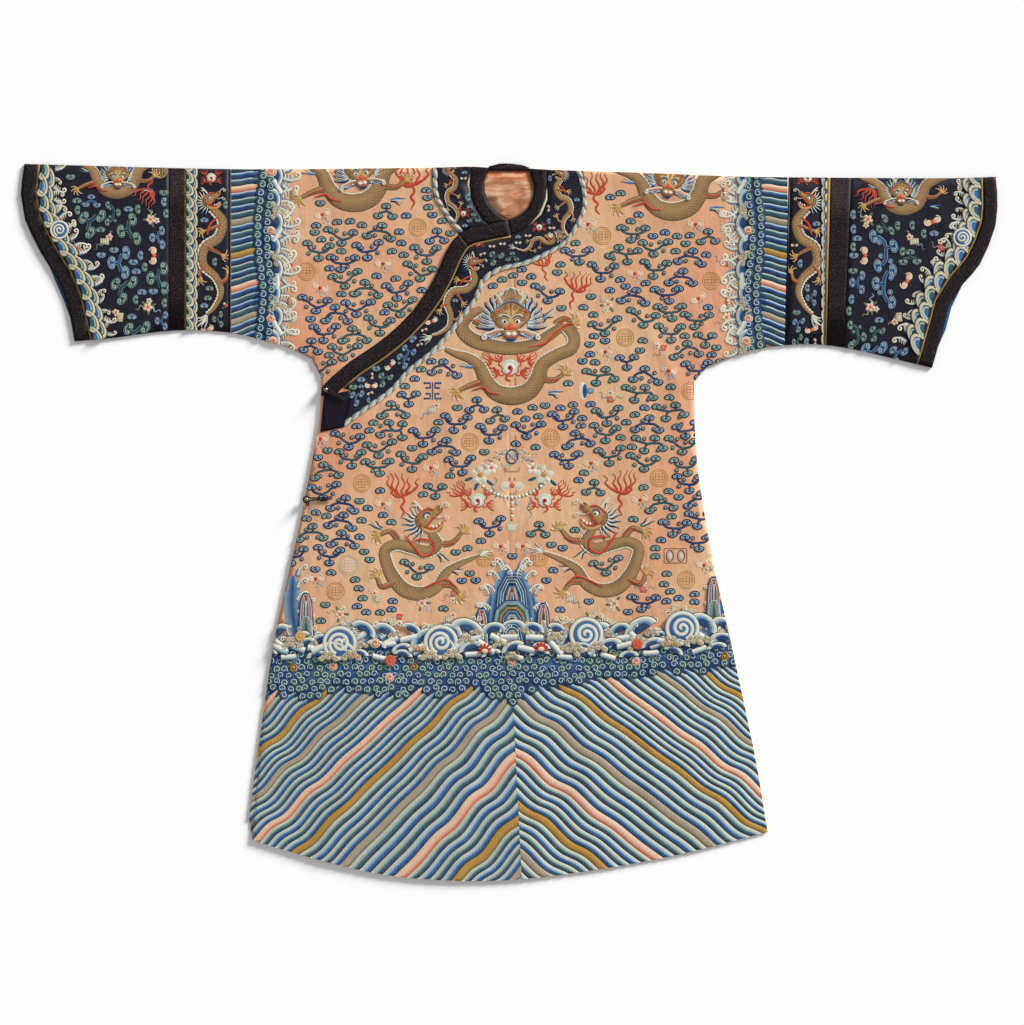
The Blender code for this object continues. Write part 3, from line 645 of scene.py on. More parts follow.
def closed(outline):
    """An outline whose end meets its start."""
    return np.append(outline, outline[0])


def arc(at, radius, start, end, steps=8, squash=1.0):
    angles = np.radians(np.linspace(start, end, steps + 1))
    return at + radius * (np.cos(angles) + 1j * squash * np.sin(angles))


def spiral(at, outer, inner, start, turns, steps=12):
    """From the outside in; turns below 0 go clockwise."""
    t = np.linspace(0, 1, max(3, int(abs(turns) * steps)) + 1)
    return at + (outer + (inner - outer) * t) * way_of(start) * np.exp(2j * math.pi * turns * t)


def oval(at, wide, high, steps=12, turn=0.0):
    angles = 2 * np.pi * np.arange(steps) / steps
    return at + (wide * np.cos(angles) + 1j * high * np.sin(angles)) * way_of(turn)


def heading(way):
    """A direction in degrees."""
    return math.degrees(math.atan2(way.imag, way.real))


def way_of(angle):
    """One mm in a direction given in degrees."""
    return np.exp(1j * math.radians(angle))


def taper(count, width, start=0.3, end=0.3):
    """Widths of a stroke that narrows to its ends."""
    t = np.linspace(0, 1, count)
    return width * np.minimum(1.0, np.minimum(start + 3 * t, end + 3 * (1 - t)))


def respaced(path, gap):
    """The same path with places an even gap apart."""
    path = np.asarray(path, complex)
    run = np.concatenate([[0], np.cumsum(np.abs(np.diff(path)))])
    places = np.linspace(0, run[-1], max(2, int(round(run[-1] / gap)) + 1))
    return np.interp(places, run, path.real) + 1j * np.interp(places, run, path.imag)


# Motifs, each drawn round its own middle

PEARL_RADIUS = 17.0

@stitched
def cloud_head(s, rim, thick, deep, pale):
    """A cap that rolls into a curl at each end, inside an outline."""
    cap = smooth([-10 - 3.5j, -10.5 + 1.5j, -4.5 + 6j, 4.5 + 6j, 10.5 + 1.5j, 10 - 3.5j, 5 - 6j,
                  -4.4j, -5 - 6j], 2, True)
    s.fill(cap, deep, deep, 1, 0.45, 0.62)
    s.stroke(closed(cap), thick, rim, 3)
    for side in (1, -1):
        s.stroke(spiral(side * 4.9 - 1.3j, 3.9, 1.0, 110, -side * 1.1, 9), 1.5, pale, 6, 0.35)
    s.stroke(arc(-0.6j, 6.2, 50, 130, 4, 0.8), 1.2, pale, 6, 0.3)


@stitched
def comma(s, rim, thick, deep, pale):
    """A small single curl on a stem."""
    s.fill(oval(0, 4.8, 4.6, 9), deep, deep, 1, 0.4, 0.5)
    s.stroke(spiral(0j, 4.9, 4.6, 200, -1.0, 9), 0.8 * thick, rim, 3)
    s.stroke(spiral(0j, 3.1, 0.9, 200, -1.0, 8), 1.3, pale, 5, 0.3)


# Cloud groups: heads with their turn, stems, and small curls with their hand.
CLOUD_SHAPES = (
    (((-24 + 11j, 0), (24 + 10j, 0), (3 - 13j, 180)),
     ((-24 + 6j, -15 - 1j, 1 - 3j, 3 - 8j), (1 - 3j, 14 - 2j, 24 + 5j)),
     ((-9 + 5j, 1), (13 + 4j, -1), (-20 - 6j, 1))),
    (((-26 - 8j, 180), (-5 + 13j, 0), (26 - 7j, 180)),
     ((-26 - 3j, -15 + 2j, -5 + 3j, -5 + 8j), (-5 + 3j, 10 + 3j, 26 - 2j)),
     ((10 + 8j, -1), (-14 - 6j, 1), (9 - 5j, -1))),
    (((-22 + 13j, 0), (-24 - 10j, 180), (8 + 13j, 0), (24 - 9j, 180)),
     ((-22 + 8j, -17 + 2j, -4 + 0j, 8 + 8j), (-17 + 2j, -23 - 5j), (-4 + 0j, 14 - 1j, 24 - 4j)),
     ((2 - 8j, 1), (25 + 6j, -1))),
    (((-28 + 6j, 0), (-3 - 12j, 180), (26 + 11j, 0)),
     ((-28 + 1j, -18 - 4j, -4 - 6j), (-4 - 6j, 8 - 1j, 15 + 4j, 26 + 6j)),
     ((-10 + 4j, 1), (18 - 5j, -1), (8 + 9j, 1))),
    (((10j, 0), (-16 - 8j, 180), (16 - 7j, 180)),
     ((6j, 1j, -15 - 3j), (1j, 15 - 2j)),
     ()),
    (((-30 - 5j, 180), (-11 + 11j, 0), (10 - 12j, 180), (30 + 8j, 0)),
     ((-30 + 0j, -21 + 3j, -11 + 2j, -11 + 7j), (-11 + 2j, 3 + 0j, 10 - 7j),
      (3 + 0j, 18 + 2j, 30 + 4j)),
     ((-20 - 9j, 1), (12 + 8j, -1))),
)


def taller(at):
    """Clouds stand a little taller than in the table."""
    return at.real + 1.3j * at.imag


@stitched
def cloud_group(s, shape, family, head, curl):
    """Heads and curls on a branching stem."""
    rim, thick, deep, pale = family
    heads, stems, curls = shape
    for stem in stems:
        path = smooth([taller(at) for at in stem], 3)
        s.stroke(path, taper(len(path), 5.4, 0.8, 0.9), (rim, deep, rim), 1)
        s.stroke(path, taper(len(path), 5.0 - 1.3 * thick, 0.8, 0.9), deep, 3, 0.3)
    for at, hand in curls:
        s.place(curl, taller(at), 0, 0.85, hand < 0, 2)
    for at, turn in heads:
        s.place(head, taller(at), turn + 4 * (at.real > 0), 0.95, False, 3)


# A cloud's outline, how thick that is, its ground and its coils: on apricot, then on navy.
CLOUD_FAMILIES = (("navy", 2.6, "royal", "pale blue"), ("deep teal", 2.6, "teal", "pale jade"))
BRIGHT_FAMILIES = (("sky", 1.0, "royal", "pale blue"), ("jade", 1.0, "deep teal", "pale jade"))


def cloud_set(family):
    """The cloud groups in one family of silks."""
    head, curl = cloud_head(*family), comma(*family)
    return [cloud_group(shape, family, head, curl) for shape in CLOUD_SHAPES]


CLOUDS = [cloud_set(family) for family in CLOUD_FAMILIES]
CLOUD_HEADS = [cloud_head(*family) for family in CLOUD_FAMILIES]


@stitched
def medallion(s, line="ochre", ground=None):
    """A round of frets, of a generic pattern."""
    if ground is not None:
        s.fill(oval(0, 16, 16, 20), ground, ground, 0, 0.2)
    s.stroke(closed(oval(0, 17, 17, 28)), 1.9, line, 1, 0.35)
    s.stroke(closed(oval(0, 13.4, 13.4, 24)), 1.1, line, 1, 0.3)
    for x in (-6.5, 0, 6.5):
        s.stroke([x - 8j, x + 8j], 1.5, line, 1, 0.3)
    for y in (-8, -2.7, 2.7, 8):
        reach = 9 if abs(y) < 5 else 6.5
        s.stroke([-reach + 1j * y, reach + 1j * y], 1.4, line, 1, 0.3)
    for x in (-10.5, 10.5):
        s.stroke([x - 4j, x + 4j], 1.3, line, 1, 0.3)


@stitched
def bat(s, wing="blush", heart="red"):
    """A bat of two rolled wings and a red body."""
    for side in (1, -1):
        curve = spiral(side * 9 + 1j, 7.5, 1.5, 90, -side * 1.0, 12)
        s.fill(oval(side * 8.5 + 0.5j, 7.5, 5.8, 12), blend(wing, "sand", 0.5), wing, 0, 0.35)
        s.stroke(curve, 1.6, blend(wing, "white", 0.5), 2)
    s.fill([-5j, 4.2 + 0.5j, 2.2 + 4j, 2.4j, -2.2 + 4j, -4.2 + 0.5j], heart, heart, 3, 0.5)
    for x in (-2.5, 2.5):
        s.stroke([x - 6j, 1.6 * x - 10j], 1.3, "deep teal", 1)


@stitched
def flames(s, tongues=6, spread=42.0, height=38.0):
    """A branch of wavering tongues of fire over a curling stalk."""
    base = smooth([6j - 0.4 * spread, -0.15 * spread, 2j + 0.1 * spread, 9j + 0.5 * spread], 4)
    s.stroke(base, taper(len(base), 5.0, 0.5, 0.5), FIRE, 2)
    for k in range(tongues):
        share = k / (tongues - 1)
        root = base[int(share * (len(base) - 1))]
        tall = height * (0.62 + 0.38 * math.sin(math.pi * (share + 0.12)))
        lean = 0.45 * (share - 0.4)
        rise = np.linspace(0, 1, 10)
        path = root + tall * (1j * rise + lean * rise) + 2.6 * np.sin(rise * 9.0 + k)
        s.stroke(path, 3.6 * (1.02 - rise) + 0.7, FIRE, 3)
    s.sweep([0.0 + 1j, 3 - 8j, -3 - 16j, 1 - 24j, -5 - 34j], 4, (3.8, 1.0, 0.3), FIRE, 2)


@stitched
def pearl(s):
    """A pale pearl with a red heart and a curling tail."""
    s.fill(oval(0, PEARL_RADIUS, PEARL_RADIUS, 28), "pale jade", "white", 1, 0.5, 0.75)
    inner = 0.72 * PEARL_RADIUS
    s.stroke(closed(oval(0, inner, inner, 24)), 1.6, blend("pale jade", "jade", 0.4), 5, 0.2)
    for share, steps, tint, level, ridge in ((0.3, 12, "red", 6, 0.3), (0.13, 8, "ink", 10, 0.2)):
        s.fill(oval(0, share * PEARL_RADIUS, share * PEARL_RADIUS, steps), tint, tint, level, ridge)
    tail = (0.25, 0.1 - 0.5j, -0.3 - 0.8j, -0.35 - 1.3j, 0.1 - 1.5j)
    s.sweep(PEARL_RADIUS * np.array(tail), 5, (0.24 * PEARL_RADIUS, 0.9, 0.4), FIRE, 7)


@stitched
def flaming_pearl(s):
    """A pearl among four tongues of fire."""
    fire = flames(4, 26, 20)
    for at, turn, flip in ((21 + 12j, -18, False), (-21 + 12j, 18, True), (22 - 12j, -80, False),
                           (-22 - 12j, 80, True)):
        s.place(fire, at, turn, 0.8, flip)
    s.place(pearl(), 0)


@stitched
def blossom(s, petal="blush", heart="coral", radius=6.0):
    """A flower of five petals."""
    for k in range(5):
        at = radius * 0.8 * np.exp(2j * np.pi * (k / 5 + 0.05))
        s.fill(oval(at, radius * 0.66, radius * 0.5, 8, 72 * k), blend(petal, "sand", 0.4), petal,
               1 + k % 2, 0.4)
    s.fill(oval(0, radius * 0.4, radius * 0.4, 8), heart, heart, 5, 0.3)


@stitched
def ribbon(s, tint, length=26.0):
    """A wavy ribbon that narrows to its end."""
    t = np.linspace(0, 1, 14)
    s.stroke(length * t + 4.5j * np.sin(t * 9.5), 2.4 * (1.15 - t) + 0.5,
             (tint, blend(tint, "white", 0.45), tint), 1)


@stitched
def emblem(s, kind):
    """A small treasure with its ribbons: generic scrolls, fans, books, gourds and flowers."""
    colours = ("sky", "jade", "royal", "sand", "lichen", "coral")
    first, second = colours[kind % 6], colours[(kind + 2) % 6]
    s.place(ribbon(first), 4 + 3j, 55 + 20 * (kind % 3), 0.8)
    s.place(ribbon(second), -4 - 3j, 215 + 25 * (kind % 2), 0.8, kind % 2 == 1)
    if kind % 3 == 0:
        s.fill([-9 - 5j, 8 - 7j, 9 + 5j, -8 + 6j], "sand", "cream", 2, 0.5)
        for x in (-5, -1, 3):
            s.stroke([x - 5j, x + 1 + 5j], 1.1, "brown", 6, 0.15)
        s.place(blossom("blush", "red", 5), 9 + 8j)
    elif kind % 3 == 1:
        s.place(blossom("blush", "coral", 7), 1j)
        s.place(blossom("cream", "ochre", 4.5), 9 - 7j)
        for turn in (20, 150, 260):
            leaf = oval(11 * way_of(turn), 6, 2.6, 8, turn)
            s.fill(leaf, "deep teal", "lichen", 1, 0.3)
    else:
        s.fill([9j, 7 + 0j, -9j, -7 + 0j], "red", "coral", 2, 0.5)
        s.fill(oval(0, 2.6, 2.6, 8), "royal", "sky", 6, 0.3)
        s.place(blossom("cream", "red", 4.5), -10 + 7j)


MEDALLION = medallion()
DARK_MEDALLION = medallion("light gold", "brown")
PALE_MEDALLION = medallion("sand", "blush")
BAT = bat()
CREAM_BAT = bat("cream", "red")
FLAMES = flames()
PEARL = flaming_pearl()
EMBLEMS = [emblem(kind) for kind in range(6)]


# Dragons

SCALE_GAP = 1.75      # spacing of the points that a scaled skin is worked on, mm


def scales(s, path, width, belly=1, level=1, height=0.9, fringe=True):
    """A body in couched gold with a lattice of scales, and a pale fringe down its back."""
    path = respaced(path, SCALE_GAP)
    count = len(path)
    width = np.interp(np.linspace(0, 1, count), np.linspace(0, 1, len(width)), width)
    along = np.gradient(path)
    side = 1j * along / np.abs(along)
    rows = max(5, int(width.max() / SCALE_GAP) | 1)
    across = np.linspace(1, -1, rows)
    i, j = np.meshgrid(np.arange(rows), np.arange(count), indexing="ij")
    is_line = ((i + j) % 4 == 0) | ((i - j) % 4 == 0)
    places, lifts, tints = [], [], []
    for row, reach in enumerate(across):
        places.append(path + side * width / 2 * reach)
        lifts.append(level * STEP + height * math.sqrt(1 - 0.98 * reach ** 2) + EDGE_DIP)
        # Painted shading: the gold is painted lightest a little off the middle of the body and
        # darker towards its edges, as light falls on a round body.
        shade = 0.78 + 0.42 * (1 - abs(reach + 0.25))
        tint = np.where(is_line[row][:, None], blend("gold", "lattice", 0.85), silk("gold")) * shade
        tints.append(tint if 0 < row < rows - 1 else np.broadcast_to(silk("brown"), (count, 3)))
    s.rows(places, lifts, tints)
    if fringe:
        edge = path - belly * side * (width / 2 + 0.9)
        wave = 2.6 + 1.5 * np.sin(np.arange(count) * SCALE_GAP * 1.1)
        s.stroke(edge, wave, "cream", level + 3, 0.5)


def foot(s, at, turn, size=1.0, toes=5):
    """A spread claw of gold toes with pale nails."""
    for k in range(toes):
        angle = math.radians(turn + (k - (toes - 1) / 2) * 38)
        reach = np.exp(1j * angle)
        s.sweep([at, at + size * 8 * reach, at + size * 15 * reach * np.exp(0.25j)], 3,
                (4.2 * size, 0.9, 0.35), ("ochre", "light gold", "gold"), 5)
        nail = [at + size * 14.5 * reach * np.exp(0.25j), at + size * 18 * reach * np.exp(0.45j)]
        s.stroke(nail, 1.4 * size, "white", 6)
    s.fill(oval(at, 5 * size, 5 * size, 10), "gold", "light gold", 6, 0.5)


def leg(s, path, turn, size=1.0, toes=5):
    """A short scaled leg with its claw."""
    path = smooth(path, 5)
    scales(s, path, [13 * size, 11 * size, 7 * size], 1, 3, fringe=False, height=0.7)
    s.stroke(path[:-3] + 3.4 * size, taper(len(path) - 3, 2.6 * size, 0.5, 0.4), "red", 12, 0.3)
    foot(s, path[-1], turn, size, toes)


def mane(s, at, angles, inner, outer, silks, width=3.4, level=4):
    """Locks of hair that stand out round a head."""
    for k, angle in enumerate(angles):
        reach = way_of(angle)
        t = np.linspace(0, 1, 8)
        length = inner + (outer - inner) * (0.82 + 0.18 * ((k * 7) % 3)) * t
        path = at + reach * (length + 2.6j * np.sin(t * 5.5) * t)
        s.stroke(path, width * (1.1 - t) + 0.8, silks[k % len(silks)], level, 0.45)


def whisker(s, points, tint="cream", width=2.0, level=14):
    """A feeler that ends in a curl."""
    path = smooth(points, 4)
    hand = 1 if (path[-1] - path[0]).real < 0 else -1
    along = (path[-1] - path[-2]) / abs(path[-1] - path[-2])
    centre = path[-1] + hand * 4.5j * along
    roll = spiral(centre, 4.5, 1.2, heading(path[-1] - centre), hand * -1.1, 10)
    s.stroke(np.concatenate([path, roll[1:]]), width, tint, level, 0.4)


@stitched
def front_head(h):
    """A dragon's face seen from the front: a gold mask in a fan of wavy locks."""
    for side in (1, -1):
        for k in range(9):
            root = side * (27 - 15 * max(0, k - 3) / 5) + (-10 + 4.4 * k) * 1j
            angle = math.radians(-24 + 12.5 * k)
            for strand, (tint, width) in enumerate((("navy", 6.0), ("sky", 3.2), ("cream", 2.6))):
                t = np.linspace(0, 1, 9)
                reach = (30 - 2.5 * strand) * t
                lean = angle + 0.5 * t + math.radians(4 * strand)
                path = root + reach * (side * np.cos(lean) + 1j * np.sin(lean))
                path = path + side * 1.8 * np.sin(9 * t) + 1j * (2.2 * strand - 2)
                h.stroke(path, width * (1.1 - 0.8 * t), tint, 2 + 2 * strand, 0.4)
        for horn in ((14 + 26j, 19 + 38j, 16 + 50j), (18 + 36j, 26 + 43j), (17 + 41j, 12 + 46j)):
            h.sweep([side * point.real + 1j * point.imag for point in horn], 3, (4.4, 1.0, 0.4),
                    CREAM_BAND, 10)
    half = [31j, 13 + 26j, 24 + 20j, 32 + 13j, 30 + 3j, 22 - 6j, 15 - 12j, 13 - 21j, 8 - 29j, -31j]
    face = smooth(half + [-point.conjugate() for point in half[-2:0:-1]], 3, True)
    h.fill(face, "copper", "light gold", 10, 1.0, 0.6)
    h.stroke(closed(face), 1.6, "dark gold", 12, 0.3)
    h.stroke(smooth([-30 + 15j, -13 + 28j, 33j, 13 + 28j, 30 + 15j], 4), 2.4,
             ("royal", "sky", "royal"), 14)
    for side in (1, -1):
        for at_curl, radius in ((7 + 21j, 4.4), (15 + 16j, 4.4), (23 + 11j, 4.6), (9 + 11j, 3.4),
                                (20 + 3j, 3.6)):
            at_curl = side * at_curl.real + 1j * at_curl.imag
            h.stroke(spiral(at_curl, radius, 1.2, 90, -side * 1.2, 11), 1.3, "copper", 20, 0.25)
        brow = smooth([side * 27 + 14j, side * 22 + 17j, side * 17 + 15j], 3)
        h.stroke(brow, 2.6, "coral", 19, 0.3)
        h.stroke(arc(side * 11 + 1j, 8.0, 20, 160, 8, 0.8), 2.2, "royal", 20, 0.4)
        h.stroke(arc(side * 11 + 2.6j, 8.4, 30, 150, 8, 0.8), 1.4, "cream", 21, 0.4)
        h.fill(oval(side * 11 - 1.2j, 5.0, 3.9, 14), "white", "white", 20, 0.6)
        h.stroke(arc(side * 11 - 1j, 5.2, 0, 180, 8, 0.85), 1.2, "ink", 26, 0.2)
        h.fill(oval(side * 10.2 - 1.6j, 2.2, 2.4, 10), "ink", "ink", 25, 0.4)
        h.fill(oval(side * 7.6 - 12.4j, 3.6, 2.6, 10), "red", "coral", 20, 0.6)
        feeler = [side * 12 - 15j, side * 24 - 15j, side * 34 - 19j, side * 46 - 23j]
        whisker(h, feeler, "cream", 3.2, 22)
        for k, tint in enumerate(("navy", "sky", "cream", "blue")):
            h.sweep([side * (12 + 3 * k) - 22j, side * (24 + 4 * k) - (25 + k) * 1j,
                             side * (38 + 2 * k) - (27 - 3 * k) * 1j], 4, (3.2, 1.0, 0.3), tint, 8)
    h.stroke([30j, 7j], 1.4, "brown", 20, 0.2)
    h.fill(smooth([-3j, 4 - 7j, 7 - 11j, 5 - 15j, -5 - 15j, -7 - 11j, -4 - 7j], 2, True), "red",
           "coral", 19, 0.9)
    h.fill(oval(-22.5j, 12.0, 6.2, 18), "copper", "coral", 16, 0.6)
    for x in (-4.6, 4.6):
        h.fill(oval(x - 21.6j, 4.6, 3.2, 10), "cream", "white", 22, 0.6)
    h.fill(oval(-31.5j, 8, 2.6, 12), "royal", "navy", 16, 0.4)


@stitched
def side_head(h):
    """A dragon's head in profile with its jaws open, looking up to the right."""
    for k in range(9):
        angle = 112 + 19 * k
        for strand, (tint, width) in enumerate((("navy", 5.0), ("sky", 3.0), ("cream", 2.6))):
            mane(h, -6 - 2j + 2.2j * strand, (angle + 3 * strand,), 10, 40 - 3 * strand, (tint,),
                 width, 2 + 2 * strand)
    jaw = smooth([-7 - 10j, 6 - 16j, 18 - 14j, 28 - 4j], 5)
    h.stroke(jaw, taper(len(jaw), 9.0, 0.8, 0.5), ("gold", "light gold", "copper"), 8, 0.7)
    h.stroke(jaw + 1.5 + 4.5j, taper(len(jaw), 4.5, 0.6, 0.4), "red", 11, 0.4)
    for tooth in (12 - 8j, 18 - 7j, 23 - 3j):
        h.fill(oval(tooth, 1.8, 2.6, 8), "white", "white", 13, 0.5)
    skull = smooth([-15 - 6j, -18 + 6j, -10 + 17j, 2 + 22j, 12 + 20j, 20 + 27j, 27 + 25j, 27 + 18j,
                    19 + 12j, 11 + 6j, 6 - 2j, -2 - 9j, -9 - 11j], 3, True)
    h.fill(skull, "copper", "gold", 10, 1.0, 0.65)
    h.stroke(closed(skull), 1.4, "dark gold", 12, 0.3)
    crest = smooth([-15 + 10j, -6 + 19j, 4 + 23j, 12 + 21j], 4)
    h.stroke(crest, 3.0, ("coral", "red", "coral"), 19)
    h.stroke([22 + 14j, 12 + 5j, 5 - 4j, -2 - 9j], [2.0, 2.8, 3.2, 2.0], "red", 19, 0.4)
    for curl_at, radius in ((-11 + 3j, 3.8), (-8 - 5j, 3.2), (14 + 14j, 3.0), (22 + 21j, 2.8)):
        h.stroke(spiral(curl_at, radius, 1.0, 60, 1.2, 10), 1.2, "copper", 18, 0.25)
    h.stroke(arc(2 + 10j, 6.6, 30, 200, 9), 2.0, "royal", 20, 0.4)
    h.fill(oval(2 + 9j, 4.6, 4.0, 12), "white", "white", 18, 0.6)
    h.fill(oval(3 + 9j, 2.0, 2.2, 9), "ink", "ink", 23, 0.4)
    h.sweep([-6 + 20j, -14 + 30j, -22 + 36j], 4, (3.8, 1.0, 0.4), "cream", 14)
    h.sweep([-13 + 28j, -22 + 28j], 4, (3.0, 1.0, 0.4), "cream", 14)
    whisker(h, [24 + 24j, 30 + 32j, 36 + 34j], width=1.8, level=16)
    whisker(h, [14 + 10j, 24 + 8j, 34 + 12j], width=1.6, level=16)


FACE = front_head()
PROFILE = side_head()


def tail_tuft(s, at, turn):
    """The pale hair at the end of a tail."""
    angles = [turn + 16 * k for k in (-2, -1, 0, 1, 2)]
    mane(s, at, angles, 0, 24, ("cream", "pale jade", "white"), 2.6)


@stitched
def main_dragon(s):
    """The facing dragon of the chest, round its head's middle."""
    scales(s, smooth([105 - 6j, 122 - 28j, 118 - 52j, 88 - 66j, 62 - 84j, 52 - 112j, 34 - 136j,
                      2 - 146j, -30 - 138j, -50 - 114j, -62 - 88j, -82 - 72j, -106 - 64j,
                      -128 - 54j], 6), [22, 24, 25, 24, 27, 31, 34, 35, 33, 29, 25, 20, 15, 8], 1)
    scales(s, smooth([-58 + 24j, -84 + 10j, -96 - 12j, -78 - 34j, -40 - 47j, -52j, 42 - 46j,
                      78 - 24j, 104 - 6j], 6), [14, 24, 27, 27, 26, 24, 24, 22, 18], -1, 3)
    s.sweep([34 - 50j, 66 - 42j, 86 - 22j, 108 - 6j, 122 - 5j], 5, (5.0, 0.3, 0.3), FIRE, 14, 0.4)
    s.sweep([-76 - 134j, -54 - 128j, -42 - 138j, -22 - 142j], 5, (4.6, 0.3, 0.2),
             FIRE, 14, 0.4)
    leg(s, [-60 - 118j, -84 - 126j, -104 - 136j], 215)
    leg(s, [58 - 112j, 84 - 114j, 104 - 100j], 50)
    leg(s, [86 - 4j, 104 + 6j, 122 + 0j], 5)
    leg(s, [-62 - 4j, -80 + 4j, -94 + 2j], 170, 0.8, 3)
    for at, turn in ((-70 - 88j, 150), (72 - 140j, -20), (62 + 4j, 20)):
        mane(s, at, (turn, turn + 16, turn + 32), 2, 26, ("navy", "pale jade", "blue"), 4.4, 2)
    tail_tuft(s, -130 - 52j, 165)
    scales(s, smooth([-26 + 34j, -14 + 46j, 54j, 14 + 46j, 26 + 34j], 6),
           [16, 20, 22, 20, 16], -1, 1)
    s.place(FACE, 2j, 0, 1.2)


@stitched
def striding_dragon(s):
    """The dragon in profile of the skirt, looking to the right, round its head's middle."""
    scales(s, smooth([10 - 22j, 22 - 44j, 2 - 58j, -30 - 50j, -58 - 44j, -80 - 56j, -76 - 84j,
                      -62 - 112j, -40 - 134j, -8 - 140j, 22 - 126j, 38 - 100j, 62 - 84j,
                      88 - 72j, 104 - 66j], 6),
           [17, 21, 23, 22, 21, 22, 24, 27, 28, 26, 23, 19, 15, 10, 5], -1)
    leg(s, [-62 - 118j, -86 - 126j, -96 - 106j], 110)
    leg(s, [24 - 122j, 50 - 124j, 66 - 142j], 300)
    leg(s, [-54 - 34j, -70 - 18j, -92 - 26j], 200)
    leg(s, [26 - 44j, 52 - 40j, 72 - 18j], 50)
    s.sweep([-40 - 26j, -26 - 44j, -8 - 66j, 12 - 60j, 14 - 40j, -6 - 34j, -22 - 36j], 5,
            (5.2, 0.5, 0.5), FIRE, 14, 0.4)
    s.sweep([-10 - 132j, 14 - 120j, 40 - 112j, 54 - 122j], 5, (4.0, 0.3, 0.3),
             FIRE, 14, 0.4)
    for at, turn in ((-84 - 14j, 150), (44 - 96j, 0), (20 - 60j, 320)):
        mane(s, at, (turn - 14, turn, turn + 14), 2, 26, ("navy", "cream", "teal"), 4.0, 2)
    tail_tuft(s, 106 - 65j, 25)
    s.place(FLAMES, -46 + 50j, 4, 1.25)
    s.place(PROFILE, 0, 0, 1.15)


@stitched
def small_dragon(s, face):
    """A narrow dragon for bands, 200 mm long, its head up."""
    scales(s, smooth([66j, 16 + 46j, 10 + 20j, -12 + 4j, -14 - 22j, 6 - 42j, 14 - 66j,
                      4 - 88j, -8 - 100j], 6), [12, 14, 15, 15, 14, 12, 10, 7, 4], 1)
    for path, turn in (([12 + 40j, -2 + 34j, -14 + 30j], 190), ([-10 + 6j, 6 - 2j, 16 - 8j], 330),
                       ([-12 - 24j, -20 - 34j, -18 - 44j], 250),
                       ([10 - 50j, 20 - 46j, 24 - 34j], 60)):
        leg(s, path, turn, 0.6, 4)
    s.sweep([8 + 52j, -4 + 40j, -8 + 24j], 4, (3.4, 0.5, 0.5), "red", 12, 0.3)
    tail_tuft(s, -9 - 101j, 235)
    if face:
        s.place(FACE, 78j, 0, 0.5)
    else:
        s.place(PROFILE, -4 + 76j, 0, 0.62)


MAIN_DRAGON = main_dragon()
STRIDING_DRAGON = striding_dragon()
SMALL_DRAGON = small_dragon(False)
SMALL_FACING = small_dragon(True)


# A chart of what lies where

CELL = 4.0            # side of a chart square, mm
CHART_LOW = -980 - 720j
CHART_SIDES = (1960, 1440)
FRONT_SILK = ("right_length", "left_length", "outer_front")


class Chart:
    """The robe seen from above in small squares: the piece on top, and what is worked already."""

    def __init__(self):
        wide, high = int(CHART_SIDES[0] / CELL), int(CHART_SIDES[1] / CELL)
        self.names = list(shells)
        tree, owners = upper_faces(self.names, UNDER_ROBE)
        self.top = np.full((high, wide), -1)
        for row in range(high):
            for column in range(wide):
                at = CHART_LOW + CELL * (column + 0.5 + 1j * (row + 0.5))
                above = Vector((at.real * MM, at.imag * MM, OVER_ROBE))
                face = tree.ray_cast(above, DOWN)[2]
                if face is not None:
                    self.top[row, column] = owners[face]
        self.taken = np.zeros((high, wide), bool)

    def squares(self, places):
        spots = (np.asarray(places) - CHART_LOW) / CELL
        return (np.clip(spots.imag.astype(int), 0, self.top.shape[0] - 1),
                np.clip(spots.real.astype(int), 0, self.top.shape[1] - 1))

    def take(self, places, margin=1):
        mask = np.zeros_like(self.taken)
        mask[self.squares(places)] = True
        for _ in range(margin):
            grown = mask.copy()
            grown[1:] |= mask[:-1]
            grown[:-1] |= mask[1:]
            grown[:, 1:] |= mask[:, :-1]
            grown[:, :-1] |= mask[:, 1:]
            mask = grown
        self.taken |= mask

    def allows(self, *names):
        """Squares where one of these pieces lies on top, or nothing does."""
        numbers = [self.names.index(name) for name in names] + [-1]
        return np.isin(self.top, numbers)

    def is_free(self, places, allowed):
        squares = self.squares(places)
        return bool(allowed[squares].all()) and not self.taken[squares].any()


chart = Chart()


def sew(s, motif, at, turn=0.0, size=1.0, flip=False, margin=1):
    """Places a motif, and takes its room on the chart."""
    start = len(s.places)
    s.place(motif, at, turn, size, flip)
    for places in s.places[start:]:
        chart.take(places, margin)


def scatter(s, motifs, spots, allowed, turns, size, margin):
    """Places a motif on each spot where there is room, taking the motifs in a random order."""
    for at in spots:
        squares = chart.squares([at])
        if not allowed[squares][0] or chart.top[squares][0] < 0:
            continue
        order = rng.sample(range(len(motifs)), min(4, len(motifs)))
        flip, turn = rng.random() < 0.5, rng.choice(turns)
        for number in order:
            motif = motifs[number]
            local = -np.conj(motif.places[0]) if flip else motif.places[0]
            if chart.is_free(at + size * way_of(turn) * local[::3], allowed):
                sew(s, motif, at, turn, size, flip, margin)
                break


def lattice(low, high, across, up, spread):
    """Staggered spots between two corners."""
    spots = []
    row = 0
    y = low.imag
    while y < high.imag:
        x = low.real + (row % 2) * across / 2
        while x < high.real:
            spots.append(x + jitter(spread) + 1j * (y + jitter(spread)))
            x += across
        y += up
        row += 1
    return spots


# The skirt: standing water in slanting stripes, curled ripples, rolling waves and mountains

SEAM = ((-700, 24), (-330, 6), (0, 5), (500, 3), (588, -3))
